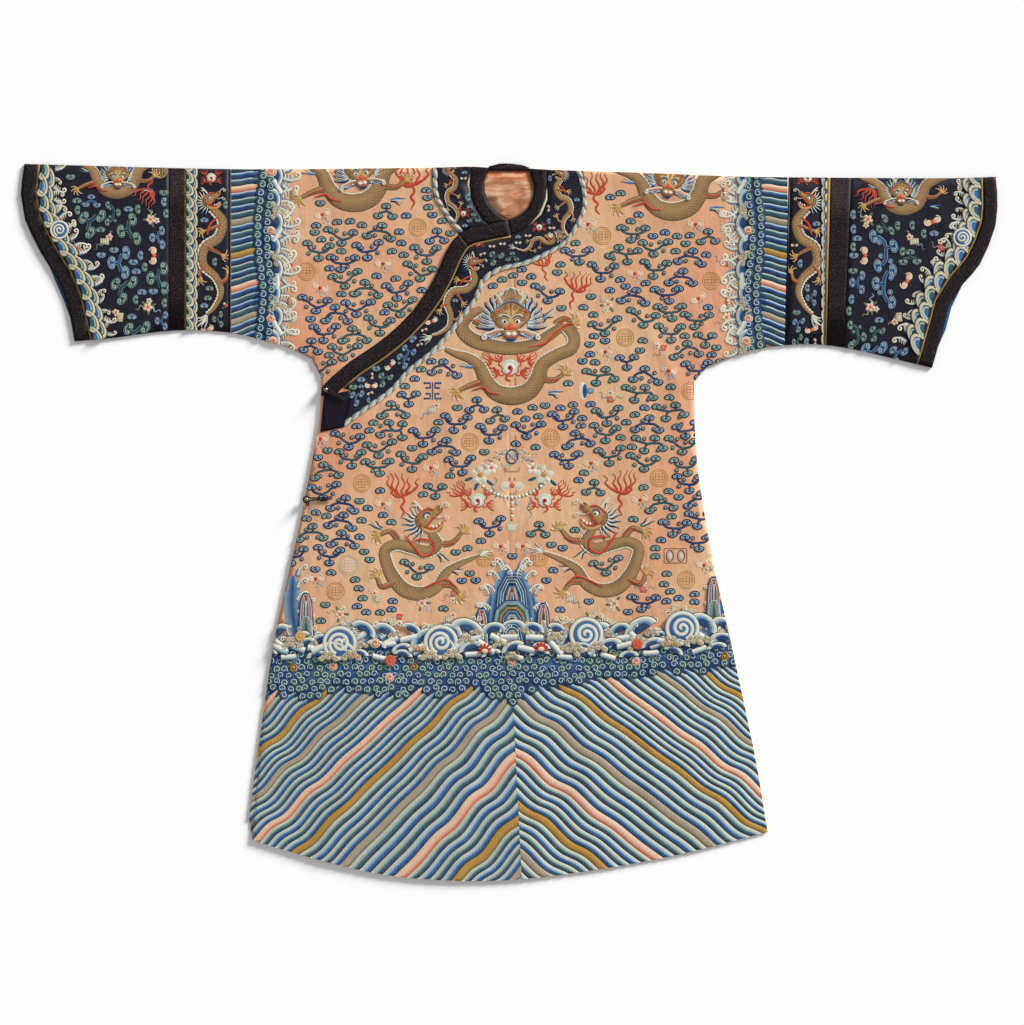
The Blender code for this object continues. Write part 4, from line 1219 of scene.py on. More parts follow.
# Special stripes down the skirt: silk, then their height at the middle seam and at the side,
# on the left and on the right. Four common stripes lie between two of them.
STRIPES = (
    ("start", 140, -320, 130, -272),
    ("pink", 68, -397, 60, -341),
    ("gold", -10, -478, -10, -410),
    ("greige", -96, -550, -82, -482),
    ("pink", -180, -636, -171, -570),
    ("gold", -254, -735, -253, -648),
    ("greige", -346, -850, -352, -755),
    ("pink", -470, -990, -460, -868),
    ("gold", -590, -1090, -560, -968),
    ("greige", -690, -1190, -660, -1060),
    ("pink", -800, -1290, -770, -1160),
)
STRIPE_SIDE = 520.0   # the side that the heights are given for
STRIPE_REACH = 560    # how far from the seam the stripes are worked, mm
SWAY_LENGTH = 24.0    # how slowly the stripes sway
UNDER_CURLS = 12      # how far they run up under the curled ripples, mm
PAST_HEM = -760       # stripes wholly below this aren't worked, mm
STRIPE_RISE = 0.85    # how far a stripe stands up, mm
STRIPE_ACROSS = (0.0, 0.08, 0.26, 0.44, 0.6, 0.9, 1.0)
SLEEVE_ACROSS = (0.0, 0.06, 0.15, 0.28, 0.42, 0.92, 1.0)
STRIPE_LIFTS = [STRIPE_RISE * lift + 0.05 for lift in (0.0, 0.45, 0.85, 1.0, 0.85, 0.4, 0.0)]
STRIPE_SILKS = {
    "teal": ("sand", "stone", "pale jade", "dusk", "slate", "deep slate", "ink"),
    "blue": ("sand", "stone", "pale blue", "sky", "blue", "royal", "ink"),
    "pink": ("sand", "blush", "blush", "blush", "pink", "coral", "coral"),
    "gold": ("olive", "bright gold", "bright gold", "bright gold", "ochre", "olive", "brown"),
    "greige": ("sand", "greige", "greige", "greige", "greige", "dark greige", "brown"),
}
CURL_FOOT = ((-520, -332), (-450, -338), (-386, -347), (-330, -326), (-280, -334), (-214, -343),
             (-180, -330), (-146, -340), (-80, -322), (-22, -348), (5, -356), (50, -330),
             (110, -322), (177, -306), (240, -304), (300, -294), (372, -292), (450, -282),
             (520, -278))


def line_at(table, value):
    """Reads a table of two columns between its rows."""
    first, second = zip(*table)
    return np.interp(value, first, second)


def add_stripe(s, rows, silks, hand, ribbed=0.0):
    """One raised stripe. Rows that run to -X, with hand below 0, are taken from the other side."""
    step = 1 if hand > 0 else -1
    s.rows(rows[::step], STRIPE_LIFTS[::step], silks[::step], ribbed)


@stitched
def stripe_rows(s, side):
    """The stripes of one half, from the curled ripples down past the hem."""
    x = np.arange(0, STRIPE_REACH + 0.1, 3.2)
    teeth = np.where(np.arange(len(x)) % 2, 1.1, 0.0)
    column = 1 if side < 0 else 3
    for above, below in zip(STRIPES, STRIPES[1:]):
        tops = [row[column] + (row[column + 1] - row[column]) * (x / STRIPE_SIDE)
                for row in (above, below)]
        for number in range(5):
            kind = below[0] if number == 4 else ("teal", "blue")[number % 2]
            rows = []
            for across in STRIPE_ACROSS:
                share = (number + across) / 5
                y = tops[0] * (1 - share) + tops[1] * share
                y = y + (2.8 + 2.2 * np.sin(x / 64 + 0.6)) * np.sin((x - y) / SWAY_LENGTH)
                y = y + teeth * (0.5 < across < 1) * (number < 4)
                rows.append(line_at(SEAM, y) + side * x + 1j * y)
            rows = np.array(rows)
            middle = rows[3]
            is_below = middle.imag < line_at(CURL_FOOT, middle.real) + UNDER_CURLS
            start = np.argmax(is_below)
            if is_below[-1] and rows[0].imag[start:].max() >= PAST_HEM:
                add_stripe(s, rows[:, start:], STRIPE_SILKS[kind], side, 0.1)


@stitched
def curl(s, outline, ground, pale):
    """One curled ripple: a dark ring with a pale coil."""
    s.fill(oval(0, 7.6, 7.0, 12), outline, ground, 2, 0.7, 0.74)
    s.stroke(spiral(0j, 5.5, 1.7, 200, -1.12, 13), 1.35, pale, 9, 0.4)


RIPPLES = [curl("ink", "royal", "pale jade"), curl("navy", "royal", "pale blue"),
           curl("deep teal", "teal", "pale jade"), curl("ink", "teal", "pale jade")]
CORAL_CURL = curl("cream", "coral", "cream")
GOLD_CURL = curl("brown", "bright gold", "ink")


@stitched
def rolling_disc(s, radius):
    """A wave rolled up in a coil, with a broad white rim."""
    s.fill(oval(0, 1.05 * radius, 1.05 * radius, 30), "ink", "blue", 2, 0.5, 0.93)
    rim = arc(0, 0.9 * radius, 0, 360, 30)
    s.stroke(rim, 0.24 * radius, ("sand", "white", "pale blue"), 6, 0.9)
    coil = spiral(0j, 0.66 * radius, 0.05 * radius, 250, -1.9, 24)
    widths = taper(len(coil), 0.24 * radius, 1.0, 0.5)
    s.stroke(coil, widths, ("pale blue", "white", "sand"), 6, 0.9)


@stitched
def hump(s, radius, squash=0.75, silks=("white", "cream", "sky", "royal")):
    """An arched band of a wave, white at its crest and blue below."""
    reaches = (1.0, 0.9, 0.68, 0.5)
    s.rows([arc(0, radius * reach, 178, 2, 16, squash) for reach in reaches][::-1],
           [0.5, 1.0, 1.1, 0.3], silks[::-1])
    s.fill(arc(0, radius * 0.52, 180, 0, 10, squash), "navy", "royal", 3, 0.3)
    s.stroke(arc(0, radius * 1.01, 178, 2, 16, squash), 1.2, "navy", 6, 0.3)


@stitched
def slab(s, length, width):
    """A tilted white block of water with a blue end."""
    along = np.linspace(-length / 2, length / 2, 5)
    s.rows([along + 1j * width * reach for reach in (0.5, 0.25, -0.1, -0.5)],
           [0.3, 1.2, 1.1, 0.2], ["cream", "white", "pale blue", "royal"])
    s.fill(oval(length / 2, 0.22 * width, 0.5 * width, 10), "royal", "sky", 6, 0.5)


@stitched
def foam(s, fingers=5, reach=26.0, blue=True):
    """Spray that curls over at its tips."""
    for k in range(fingers):
        angle = 155 - 130 * k / max(1, fingers - 1)
        way = way_of(angle)
        hand = -1 if angle < 90 else 1
        long = reach * (0.75 + 0.25 * math.sin(2.4 * k + 1))
        tip = way * long
        path = np.concatenate([[0, way * long * 0.45], spiral(tip * 0.86, 5.2, 1.2,
                               angle - hand * 60, hand * 0.9, 10)])
        if blue:
            s.stroke([0, way * long * 0.5, way * long * 0.8], [6.5, 5.0, 2.5], "blue", 1, 0.4)
        s.stroke(path, 3.0, ("cream", "cream", "sand"), 3, 0.5)


@stitched
def froth(s):
    """A heap of small cream curls."""
    for k, at in enumerate((0, 9 + 2j, -9 + 1j, 4 + 8j, -5 + 8j, 14 - 3j, -14 - 3j)):
        s.fill(oval(at, 6.5, 5.5, 9), "sand", "cream", 3, 0.6)
        s.stroke(spiral(at, 4.6, 1, 60 * k, 1.2 if k % 2 else -1.2, 9), 1.3,
                 ("sand", "brown", "sand"), 10, 0.3)


DISC = rolling_disc(33)
HUMP = hump(27)
LOW_HUMP = hump(24, 0.6, ("white", "cream", "pale blue", "blue"))
SLAB = slab(34, 13)
FOAM = foam()
WHITE_FOAM = foam(4, 20, False)
FROTH = froth()


PEAK_SILKS = ("royal", "sky", "royal", "jade", "teal", "pale blue", "royal")


def peak(s, foot, half, height, level, accents):
    """A prism peak in nested bands. accents gives the silk of a band by its number."""
    shape = np.array([-1 + 0j, -0.7 + 0.8j, -0.3 + 1j, 0.3 + 1j, 0.7 + 0.8j, 1 + 0j])
    outline = foot + shape.real * half + 1j * shape.imag * height
    s.fill(np.append(outline, foot), "navy", "deep teal", level, 0.3, 0.6, foot + 0.4j * height)
    bands = max(4, int(half / 2.7))
    for k in range(bands):
        share = 1 - (k + 0.4) / bands
        tint = accents.get(k, PEAK_SILKS[k % len(PEAK_SILKS)])
        path = foot + shape.real * half * share + 1j * shape.imag * (height - half * (1 - share))
        s.stroke(path, 1.9, tint, level + 3, 0.5)


@stitched
def ring_of_petals(s, tint, edge):
    """Round petals set about a middle one."""
    for k in range(9):
        at = 5.5 * np.exp(2j * np.pi * k / 9)
        s.fill(oval(at, 3, 3, 8), edge, tint, 12, 0.6)
    s.fill(oval(0, 4, 4, 10), edge, tint, 14, 0.6)


JEWELS = ring_of_petals("coral", "red")
SUN = ring_of_petals("light gold", "ochre")


@stitched
def crown(s):
    """A small gilt crown."""
    s.fill([-11 - 4j, 11 - 4j, 13 + 4j, 7 + 0j, 4 + 6j, 1j, -4 + 6j, -7 + 0j, -13 + 4j],
           "ochre", "blush", 12, 0.7)
    for x in (-6, 0, 6):
        s.stroke([x - 3j, x + 1j], 1.4, "copper", 19, 0.2)


@stitched
def shell_fan(s):
    """A red fan of ribs."""
    for k in range(7):
        way = way_of(200 - 36.7 * k)
        s.stroke([2 * way, 12 * way], [3.0, 4.2], "red", 13, 0.6)
    s.fill(oval(-1j, 5.5, 4, 10), "cream", "blush", 18, 0.5)


CROWN = crown()
SHELL_FAN = shell_fan()


def spray(s, path, width, level, hand, curls=5, size=0.62):
    """A plume of blue water, with cream tips that curl off one side or both."""
    path = smooth(path, 5)
    s.stroke(path, taper(len(path), width, 0.9, 0.35), ("sky", "royal", "sky"), level, 0.7)
    for k in range(curls):
        at = path[int((0.3 + 0.7 * k / max(1, curls - 1)) * (len(path) - 1))]
        for side in ((1, -1) if hand == 0 else (hand,)):
            turn = -side * (50 - 40 * k / curls)
            s.place(TIP, at + side * width * 0.3, turn, size, side < 0, level + 3)


@stitched
def tip(s):
    """One finger of spray, rolled over at its end."""
    s.stroke(smooth([0j, -1 + 12j, 3 + 22j], 3), [11, 10, 9, 8, 7, 5, 4], ("blue", "sky", "sky"),
             0, 0.5)
    path = np.concatenate([smooth([2j, -1 + 14j, 4 + 24j], 3),
                           spiral(9 + 22j, 5.0, 1.3, 150, -1.0, 9)])
    s.stroke(path, 3.4, ("cream", "white", "sand"), 3, 0.6)
    for k in range(3):
        s.stroke([-3 + 5j * k + 4j, 3 + 5j * k + 5j, 8 + 5j * k + 2j], [3, 2.6, 1.4], CREAM_BAND,
                 4, 0.4)


TIP = tip()


@stitched
def make_waters(s):
    """Ripples, rolling waves and mountains, from the stripes up to the clouds."""
    x = np.arange(-520, 521, 6.0)
    low = line_at(CURL_FOOT, x) - 5 * np.abs(np.sin(x / 19.0))
    rise = np.maximum(0, x - 200) * 0.07
    top = -219 + rise + 6 * np.sin(x / 23.0)
    s.rows([x + 1j * (low * (1 - t) + top * t) for t in (1, 0.8, 0.6, 0.45, 0.25, 0)],
           [0.3, 0.9, 1.0, 1.0, 1.0, 0.2], ("sky", "blue", "royal", "blue", "royal", "navy"))
    for row, y in enumerate(np.arange(-258, -362, -13.4)):
        for at_x in np.arange(-505, 510, 16.8):
            at = at_x + (row % 2) * 8.4 + jitter(3) + 1j * (y + jitter(2.6))
            at += 1j * max(0, at_x - 200) * 0.05
            if at.imag > line_at(CURL_FOOT, at.real) + 5 - 5 * abs(math.sin(at.real / 19.0)):
                s.place(rng.choice(RIPPLES), at, jitter(50), rng.uniform(1.12, 1.3),
                        rng.random() < 0.35, 8)
    for at, motif in ((-234 - 303j, CORAL_CURL), (5 - 272j, CORAL_CURL), (247 - 272j, CORAL_CURL),
                      (-421 - 284j, GOLD_CURL), (-187 - 282j, GOLD_CURL), (200 - 262j, GOLD_CURL),
                      (-344 - 282j, CORAL_CURL), (420 - 262j, GOLD_CURL)):
        s.place(motif, at, 0, 1.3, False, 12)
    # Sprays and peaks stand behind the waves.
    for side in (1, -1):
        spray(s, [5 + side * 34 - 205j, 5 + side * 32 - 160j, 5 + side * 14 - 104j,
                  5 + side * 8 - 92j],
              24, 2, side, 5, 0.95)
        spray(s, [5 + side * 44 - 215j, 5 + side * 46 - 180j, 5 + side * 40 - 142j],
              16, 1, side, 3, 0.8)
    for angle in (100, 80):
        s.place(TIP, 5 - 110j + 10 * (angle < 90), angle - 90, 1.0, angle > 90, 4)
    for foot, half, high, level, accents in (
            (5 - 232j, 40, 130, 8, {3: "pale blue", 9: "pink", 10: "coral"}),
            (5 - 236j, 46, 84, 20, {2: "pale jade", 5: "bright gold", 6: "ochre", 11: "pink"}),
            (5 - 242j, 26, 46, 32, {3: "pale blue", 6: "pink", 7: "coral"})):
        peak(s, foot, half, high, level, accents)
    for at, wide, high in ((-54 - 236j, 16, 69), (66 - 234j, 16, 77), (-397 - 222j, 17, 84),
                           (399 - 190j, 17, 84)):
        peak(s, at, wide, high, 12, {1: "pale blue", 2: "coral", 3: "pink"})
        peak(s, at - 4j, wide - 3, high * 0.5, 22, {0: "pale blue", 2: "bright gold"})
    for side, x_edge, y_low in ((-1, -424, -225), (1, 424, -200)):
        edge = x_edge + 0j
        spray(s, [edge - side * 8 + 1j * y_low, edge + 1j * (y_low + 60),
                  edge - side * 2 + 1j * (y_low + 120)],
              30, 2, -side, 5, 0.95)
        low_plume = [edge - side * 20 + 1j * (y_low + 30), edge - side * 24 + 1j * (y_low + 62)]
        spray(s, low_plume, 12, 2,
              -side, 2, 0.7)
    # Rolling waves, back row first.
    def swell(at_x):
        return 0.07 * max(0, at_x - 200)

    for number, at_x in enumerate(np.arange(-486, 500, 41.0)):
        at = at_x + jitter(9) + 1j * (-222 + swell(at_x) + rng.uniform(-14, 12))
        s.place(HUMP, at, jitter(42), rng.uniform(0.6, 1.4), False, 26 + number % 3)
        if number % 2 == 0:
            s.place((FOAM, WHITE_FOAM)[number // 2 % 2], at + 12 + 16j, jitter(30), 0.95,
                    number % 4 == 0, 14)
        s.place((FROTH, TIP)[number % 2], at + 20 - 2j, jitter(25), 0.75, number % 3 == 0, 30)
        for _ in range(2):
            s.place(TIP, at + jitter(22) - 8j, jitter(60), rng.uniform(0.8, 1.15),
                    rng.random() < 0.5, 22)
        s.place(SLAB, at + jitter(14) - 14j, jitter(50), 1.0, number % 2 == 0, 31)
    for at, size, flip in ((-331 - 236j, 1.0, False), (-134 - 234j, 1.0, False),
                           (150 - 219j, 1.0, True), (337 - 207j, 1.0, True)):
        s.place(DISC, at, 0, size, flip, 44)
        s.place(FROTH, at - 28j - 22, 0, 1.0, False, 52)
        s.place(FROTH, at - 26j + 22, 0, 1.0, True, 52)
        chart.take(at + 38 * np.exp(2j * np.pi * np.arange(12) / 12), 2)
    for number, at_x in enumerate(np.arange(-478, 490, 27.0)):
        at = at_x + jitter(3) + 1j * (-243 + swell(at_x) + rng.uniform(-7, 6))
        motif = (LOW_HUMP, SLAB, FROTH, LOW_HUMP, SLAB)[number % 5]
        s.place(motif, at, jitter(50) if motif is SLAB else jitter(32),
                rng.uniform(0.75, 1.2), at_x > 0, 40 + number % 3)
    for number, at_x in enumerate(np.arange(-470, 480, 44.0)):
        at = at_x + jitter(6) + 1j * (-262 + swell(at_x) + rng.uniform(-3, 4))
        s.place((LOW_HUMP, SLAB)[number % 2], at, jitter(20), 0.85, number % 4 > 1, 34)
    for at, motif, size in ((-408 - 223j, SUN, 1.3), (-232 - 270j, JEWELS, 1.35),
                            (249 - 238j, JEWELS, 1.3), (-48 - 250j, SHELL_FAN, 1.1),
                            (62 - 246j, SHELL_FAN, 1.1), (-175 - 246j, CROWN, 1.1),
                            (-302 - 262j, CROWN, 1.0), (310 - 237j, CROWN, 1.0),
                            (430 - 205j, SUN, 1.1), (-262 - 236j, CORAL_CURL, 1.4),
                            (90 - 226j, FROTH, 0.9), (-85 - 230j, FROTH, 0.9),
                            (5 - 262j, FROTH, 0.7)):
        s.place(motif, at, 0, size, False, 46)


# Sleeves

SLEEVE_SILKS = {**STRIPE_SILKS,
                "blue": ("sand", "pale blue", "sky", "blue", "royal", "navy", "ink"),
                "teal": ("sand", "pale jade", "dusk", "slate", "teal", "deep slate", "ink")}
SLEEVE_STRIPES = ("blue", "teal", "blue", "teal", "pink", "blue", "teal", "blue", "teal", "greige",
                  "blue", "teal", "blue", "teal", "gold", "blue", "teal", "blue", "teal", "pink",
                  "blue", "teal", "blue", "teal", "greige", "blue", "teal", "blue", "teal")


@stitched
def make_sleeve_waters(s, side):
    """Stripes, curls, crests and spray where the sleeve is joined to its band."""
    x = np.linspace(543, 486, 10)
    for number, kind in enumerate(SLEEVE_STRIPES):
        top = 706 - 13.0 * number
        slope = 0.1 + 0.012 * number
        rows = []
        for across in SLEEVE_ACROSS:
            y = top - 13.0 * across + slope * (543 - x) + 0.5 * np.sin(x / 5)
            rows.append(side * x + 1j * y)
        add_stripe(s, rows, SLEEVE_SILKS[kind], -side)
    y = np.arange(700, 330, -6.0)
    s.rows([side * (reach + 5 * np.sin(y / 13)) + 1j * y for reach in (496, 476, 456)],
           [0.6, 1.0, 0.6], ("navy", "royal", "navy"))
    for number, at_y in enumerate(np.arange(668, 330, -46.0)):
        at = side * (446 + 5 * (number % 2)) + 1j * at_y
        for turn, reach in ((30, 16), (-5, 4), (-38, -8)):
            s.place(TIP, at - side * 2 + 1j * reach, side * (90 - turn) + jitter(9),
                    rng.uniform(1.0, 1.35), number % 2 == 0, 2)
        s.place(HUMP, at + side * 13 + 8j, 90 * side + jitter(12), 0.85, False, 12)
        s.place((SLAB, FROTH)[number % 2], at + side * 8 - 14j, side * (60 + 30 * (number % 3)),
                0.9, False, 14)
    for number, at_y in enumerate(np.arange(692, 330, -16.5)):
        for column, at_x in enumerate((487, 470)):
            lean = 5 * math.sin(at_y / 40.0)
            at = side * (at_x + lean + jitter(1)) + 1j * (at_y - 8 * column)
            s.place(rng.choice(RIPPLES), at, 90 * side, 1.3, side > 0, 14)
    for number, at_y in enumerate(np.arange(655, 330, -86.0)):
        s.place(CORAL_CURL if number % 2 else RIPPLES[0], side * 466 + 1j * at_y, 0, 1.2, False, 18)
    s.place(CORAL_CURL, side * 466 + 684j, 0, 1.6, False, 18)
    s.place(CORAL_CURL, side * 462 + 352j, 0, 1.5, False, 18)
    for at in (side * 422 + 640j, side * 428 + 430j):
        s.place(CROWN, at, 90 * side, 0.9, False, 4)
    chart.take(np.concatenate(s.places), 1)


def edge_of(ground, start_x, end_x, high, low, count):
    """The outer edge of a panel, found on the cloth at even heights."""
    found = []
    for y in np.linspace(high, low, count):
        for x in np.arange(start_x, end_x, math.copysign(1.0, end_x - start_x)):
            if ground.height(x * MM, y * MM) is not None:
                found.append(x + 1j * y)
                break
    return np.array(found)


@stitched
def crescent(s, radius, silks=("cream", "pale jade", "teal", "navy")):
    """A leaning wave in nested bands, its crest up."""
    lean = 0.55

    def bent(share, start, end):
        path = arc(0, radius * share, start, end, 14, 0.86)
        return path + lean * path.imag
    s.fill(bent(1.0, 190, -10), silks[3], silks[2], 2, 0.6, 0.7)
    s.stroke(bent(0.52, 185, -5), radius * 0.2, (silks[1], silks[1], silks[2]), 7, 0.4)
    s.stroke(bent(0.84, 188, -8), radius * 0.38, ("sand", silks[0], silks[1]), 9, 0.6)
    s.stroke(bent(1.06, 188, -8), 1.4, "ink", 12, 0.2)
    s.stroke(bent(0.72, 186, -6), 0.9, "olive", 14, 0.2)


CRESCENTS = [crescent(19), crescent(19, ("cream", "pale blue", "blue", "navy"))]


def make_wave_border(s, line, side):
    """Overlapping crescents along an edge, with spray reaching into the panel."""
    line = respaced(line, 16)
    level = 0
    for depth, width in ((26, 0.8), (13, 1.0), (1, 1.05)):
        for number in range(len(line)):
            before, after = line[max(0, number - 1)], line[min(len(line) - 1, number + 1)]
            way = (after - before) / abs(after - before)
            inward = -side * 1j * way
            turn = heading(inward) - 90
            at = line[number] + inward * depth
            if depth > 20:
                s.place(TIP, at, turn + jitter(45), rng.uniform(0.6, 1.0), number % 2 == 0)
            elif number % 2 == (depth > 5):
                s.place(CRESCENTS[number // 2 % 2], at, turn + 12 * side, width, False, level)
        level += 10


DARK_GROUND_CLOUDS = [group for family in BRIGHT_FAMILIES for group in cloud_set(family)]
SMALL_DARK_CLOUDS = [DARK_GROUND_CLOUDS[number] for number in (4, 0, 10, 6)]
BRIGHT_HEADS = [cloud_head(*family) for family in BRIGHT_FAMILIES]


@stitched
def make_cuff(s, side, ground):
    """The embroidery of one navy cuff: waves along its mouth, clouds, bats and emblems."""
    line = edge_of(ground, side * 970, side * 660, 690, 345, 70)
    make_wave_border(s, line - side * 4, side)
    s.place(DISC, line[int(0.36 * len(line))] - side * 24, 0, 0.55, side > 0, 30)
    chart.take(np.concatenate(s.places), 1)
    sew(s, MAIN_DRAGON, side * 768 + (732 - 16 * side) * 1j, 0, 0.72)
    sew(s, FACE, side * 764 + (658 - 16 * side) * 1j, 0, 0.72)
    sew(s, DARK_MEDALLION, side * 683 + 686j, 0, 0.85)
    sew(s, FLAMES, side * 705 + 650j, 160, 0.9)
    allowed = chart.allows(f"cuff_{'l' if side < 0 else 'r'}")
    for at, turn in ((side * 826 + 586j, 20), (side * 694 + 520j, 90), (side * 776 + 470j, 60)):
        if chart.is_free(at + BAT.places[0], allowed):
            sew(s, bat("blush", "coral"), at, turn, 1.1, side > 0)
    for number, at in enumerate((side * 790 + 548j, side * 700 + 590j, side * 842 + 535j,
                                 side * 760 + 400j, side * 705 + 420j)):
        sew(s, EMBLEMS[number], at, 30 * number, 1.0, side > 0)
    spots = lattice(min(side * 980, side * 664) + 330j, max(side * 980, side * 664) + 690j, 7, 8, 2)
    scatter(s, DARK_GROUND_CLOUDS, spots, allowed, (90, 80, 100, 60), 1.2, 0)
    scatter(s, DARK_GROUND_CLOUDS, spots, allowed, (90, 45, 0, 120), 0.85, 0)
    scatter(s, SMALL_DARK_CLOUDS, spots, allowed, (0, 90, 45), 0.7, 0)
    scatter(s, BRIGHT_HEADS, spots, allowed, (0, 90, 180), 0.8, 0)


@stitched
def make_sleeve_band(s, side):
    """The dragon band: crescents down its outer side, a climbing dragon and clouds."""
    for number, at_y in enumerate(np.arange(700, 340, -12.0)):
        inner = number % 2
        at = side * (632 - 11 * inner) + 1j * at_y
        turn = 90 * side + 16 * (1 - 2 * inner)
        s.place(CRESCENTS[inner], at, turn, 0.86, False, 8 * (1 - inner))
    chart.take(np.concatenate(s.places), 0)
    sew(s, SMALL_DRAGON, side * 580 + 530j, 0, 1.25, side > 0, 0)
    sew(s, PEARL, side * 582 + 672j, 0, 0.55)
    allowed = chart.allows(f"sleeve_band_{'l' if side < 0 else 'r'}")
    spots = lattice(min(side * 628, side * 552) + 345j, max(side * 628, side * 552) + 695j, 6, 7, 2)
    sew(s, bat("blush", "coral"), side * 590 + 375j, 20, 0.85)
    scatter(s, SMALL_DARK_CLOUDS, spots, allowed, (90, 60, 120), 0.6, 0)
    scatter(s, BRIGHT_HEADS, spots, allowed, (0, 90, 180), 0.7, 0)
    scatter(s, [EMBLEMS[2], BAT], spots[::5], allowed, (0, 90), 0.45, 1)


# Collar

COLLAR_EDGE = (138 + 690j, 150 + 650j, 151 + 612j, 134 + 573j, 112 + 542j, 81 + 523j, 32 + 501j,
               -20 + 489j, -49 + 468j, -60 + 436j, -79 + 410j, -118 + 360j, -150 + 326j,
               -193 + 292j, -226 + 255j, -271 + 222j, -323 + 185j)
COLLAR_LEFT_EDGE = (-151 + 690j, -149 + 636j, -127 + 597j, -99 + 562j)


@stitched
def rope_turn(s):
    """One turn of the wave rope: a curled cream lobe with a thin blue one under it."""
    s.fill(smooth([-15 - 4j, -6 - 6j, 6 - 4j, 14 + 1j, 8 + 2j, -4 - 1j], 2, True), "royal", "sky",
           2, 0.5)
    s.fill(smooth([-15 - 4j, -7 - 4j, 3 - 1j, 13 + 4j, 8 + 6.5j, -4 + 6.5j, -13 + 2j], 2, True),
           "sand", "cream", 4, 0.6)
    s.stroke(smooth([-14 - 4j, -6 - 4j, 4 - 1j, 13 + 4j], 3), 1.0, "olive", 9, 0.2)
    s.stroke(smooth([-12 + 1j, -4 + 0.5j, 4 + 2j, 9 + 5j], 3), 1.0, "dusk", 11, 0.2)
    s.stroke(spiral(9 + 3j, 3.6, 1.0, 200, -1.1, 9), 1.1, "dusk", 12, 0.2)


ROPE_TURN = rope_turn()


def make_rope(s, edge, side):
    """Turns of the wave rope along an edge."""
    line = respaced(smooth(edge, 6), 20)
    for number, at in enumerate(line[:-1]):
        after = line[number + 1]
        way = (after - at) / abs(after - at)
        middle = (at + after) / 2 + side * 1j * way * 5
        s.place(ROPE_TURN, middle, heading(way), 0.86)


@stitched
def make_collar(s, allowed):
    """Dragons, clouds and jewels of the collar, inside its rope of waves."""
    make_rope(s, COLLAR_EDGE, -1)
    make_rope(s, COLLAR_LEFT_EDGE, 1)
    chart.take(np.concatenate(s.places), 0)
    for motif, at, turn, size, flip in (
            (SMALL_DRAGON, -101 + 441j, -28, 0.92, False),
            (SMALL_DRAGON, 106 + 622j, 8, 0.72, True),
            (SMALL_FACING, 60 + 546j, -72, 0.5, False),
            (SMALL_DRAGON, -112 + 640j, 5, 0.62, False)):
        sew(s, motif, at, turn, size, flip, 0)
    for at, size in ((58 + 575j, 0.36), (-62 + 545j, 0.36), (-90 + 602j, 0.32)):
        sew(s, PEARL, at, 0, size, False, 0)
    spots = lattice(-360 + 180j, 155 + 700j, 6, 7, 2)
    for at, turn in ((-152 + 391j, 20), (-232 + 305j, 45), (-270 + 265j, 0), (88 + 560j, 10)):
        sew(s, CREAM_BAT, at, turn, 0.8, False, 0)
    scatter(s, DARK_GROUND_CLOUDS, spots, allowed, (0, 45, 60), 0.66, 0)
    scatter(s, SMALL_DARK_CLOUDS, spots, allowed, (0, 45, 90), 0.52, 0)
    scatter(s, [FLAMES, CREAM_BAT], spots[::5], allowed, (0, 90, 200), 0.4, 0)
    scatter(s, BRIGHT_HEADS, spots, allowed, (0, 45, 90, 180), 0.72, 0)
    scatter(s, [EMBLEMS[2], BRIGHT_HEADS[0]], spots[::3], allowed, (0, 90), 0.5, 0)


# The body

# Motifs of the body: x, y in mm and, where it matters, their turn.
MEDALLIONS = ((-179, 575), (-396, 489), (181, 559), (394, 471), (226, 360), (-77, 156), (81, 164),
              (-288, 76), (292, 86), (353, 256), (-48, -70), (58, -70), (-339, -135), (345, -113))
BATS = ((-365, 600, 20), (-247, 504, 0), (-370, 457, -20), (153, 581, 10), (245, 485, 0),
        (363, 581, 0), (369, 436, 30), (187, 332, 0), (310, 295, -20), (-153, 106, 10),
        (-247, 35, 0), (-369, 162, 0), (-394, 35, 0), (159, 115, 0), (255, 43, 10), (-17, -47, 0),
        (26, -47, 0), (380, -84, 0), (-378, -111, 0), (5, 47, 180))
SPRAYS = ((-152, 219, 0), (193, 424, 1), (196, 239, 2), (-258, -150, 3), (-170, -158, 4),
          (-110, -140, 5), (120, -150, 0), (205, -160, 1), (260, -132, 2), (320, -170, 3),
          (-330, -180, 4), (-215, -185, 5), (-425, 560, 1), (-430, 505, 2), (-420, 395, 3),
          (428, 560, 0), (420, 505, 2), (425, 400, 4), (300, 340, 5), (-120, -190, 0),
          (160, -190, 4))


@stitched
def fret_square(s):
    """A generic block of right-angled frets in navy."""
    for side in (1, -1):
        s.stroke([side * 15 + 13j, side * 4 + 13j, side * 4 + 5j, side * 12 + 5j], 3.6, "royal", 1)
        s.stroke([side * 15 - 13j, side * 4 - 13j, side * 4 - 5j, side * 12 - 5j], 3.6, "royal", 1)
    s.stroke([-15j, 15j], 2.0, "royal", 2)


@stitched
def cup_pair(s):
    """Two cups in a gold frame."""
    for side in (1, -1):
        ring = oval(side * 11 + 0j, 7, 11, 18)
        s.stroke(closed(ring), 1.8, "royal", 2, 0.4)
        s.fill(oval(side * 11 + 0j, 4.5, 8, 14), "sand", "cream", 1, 0.4)
    frame_line = [-22 - 14j, 22 - 14j, 22 + 14j, -22 + 14j, -22 - 14j]
    s.stroke(respaced(frame_line, 4), 1.6, "dark gold", 1, 0.3)


@stitched
def dish(s):
    """A round dish seen aslant."""
    s.fill(oval(0, 8, 17, 20), "white", "white", 1, 0.5)
    s.fill(oval(3 + 0j, 5, 14, 18), "blue", "royal", 5, 0.6)
    s.fill(oval(14 + 0j, 7, 6, 12), "royal", "sky", 2, 0.5)


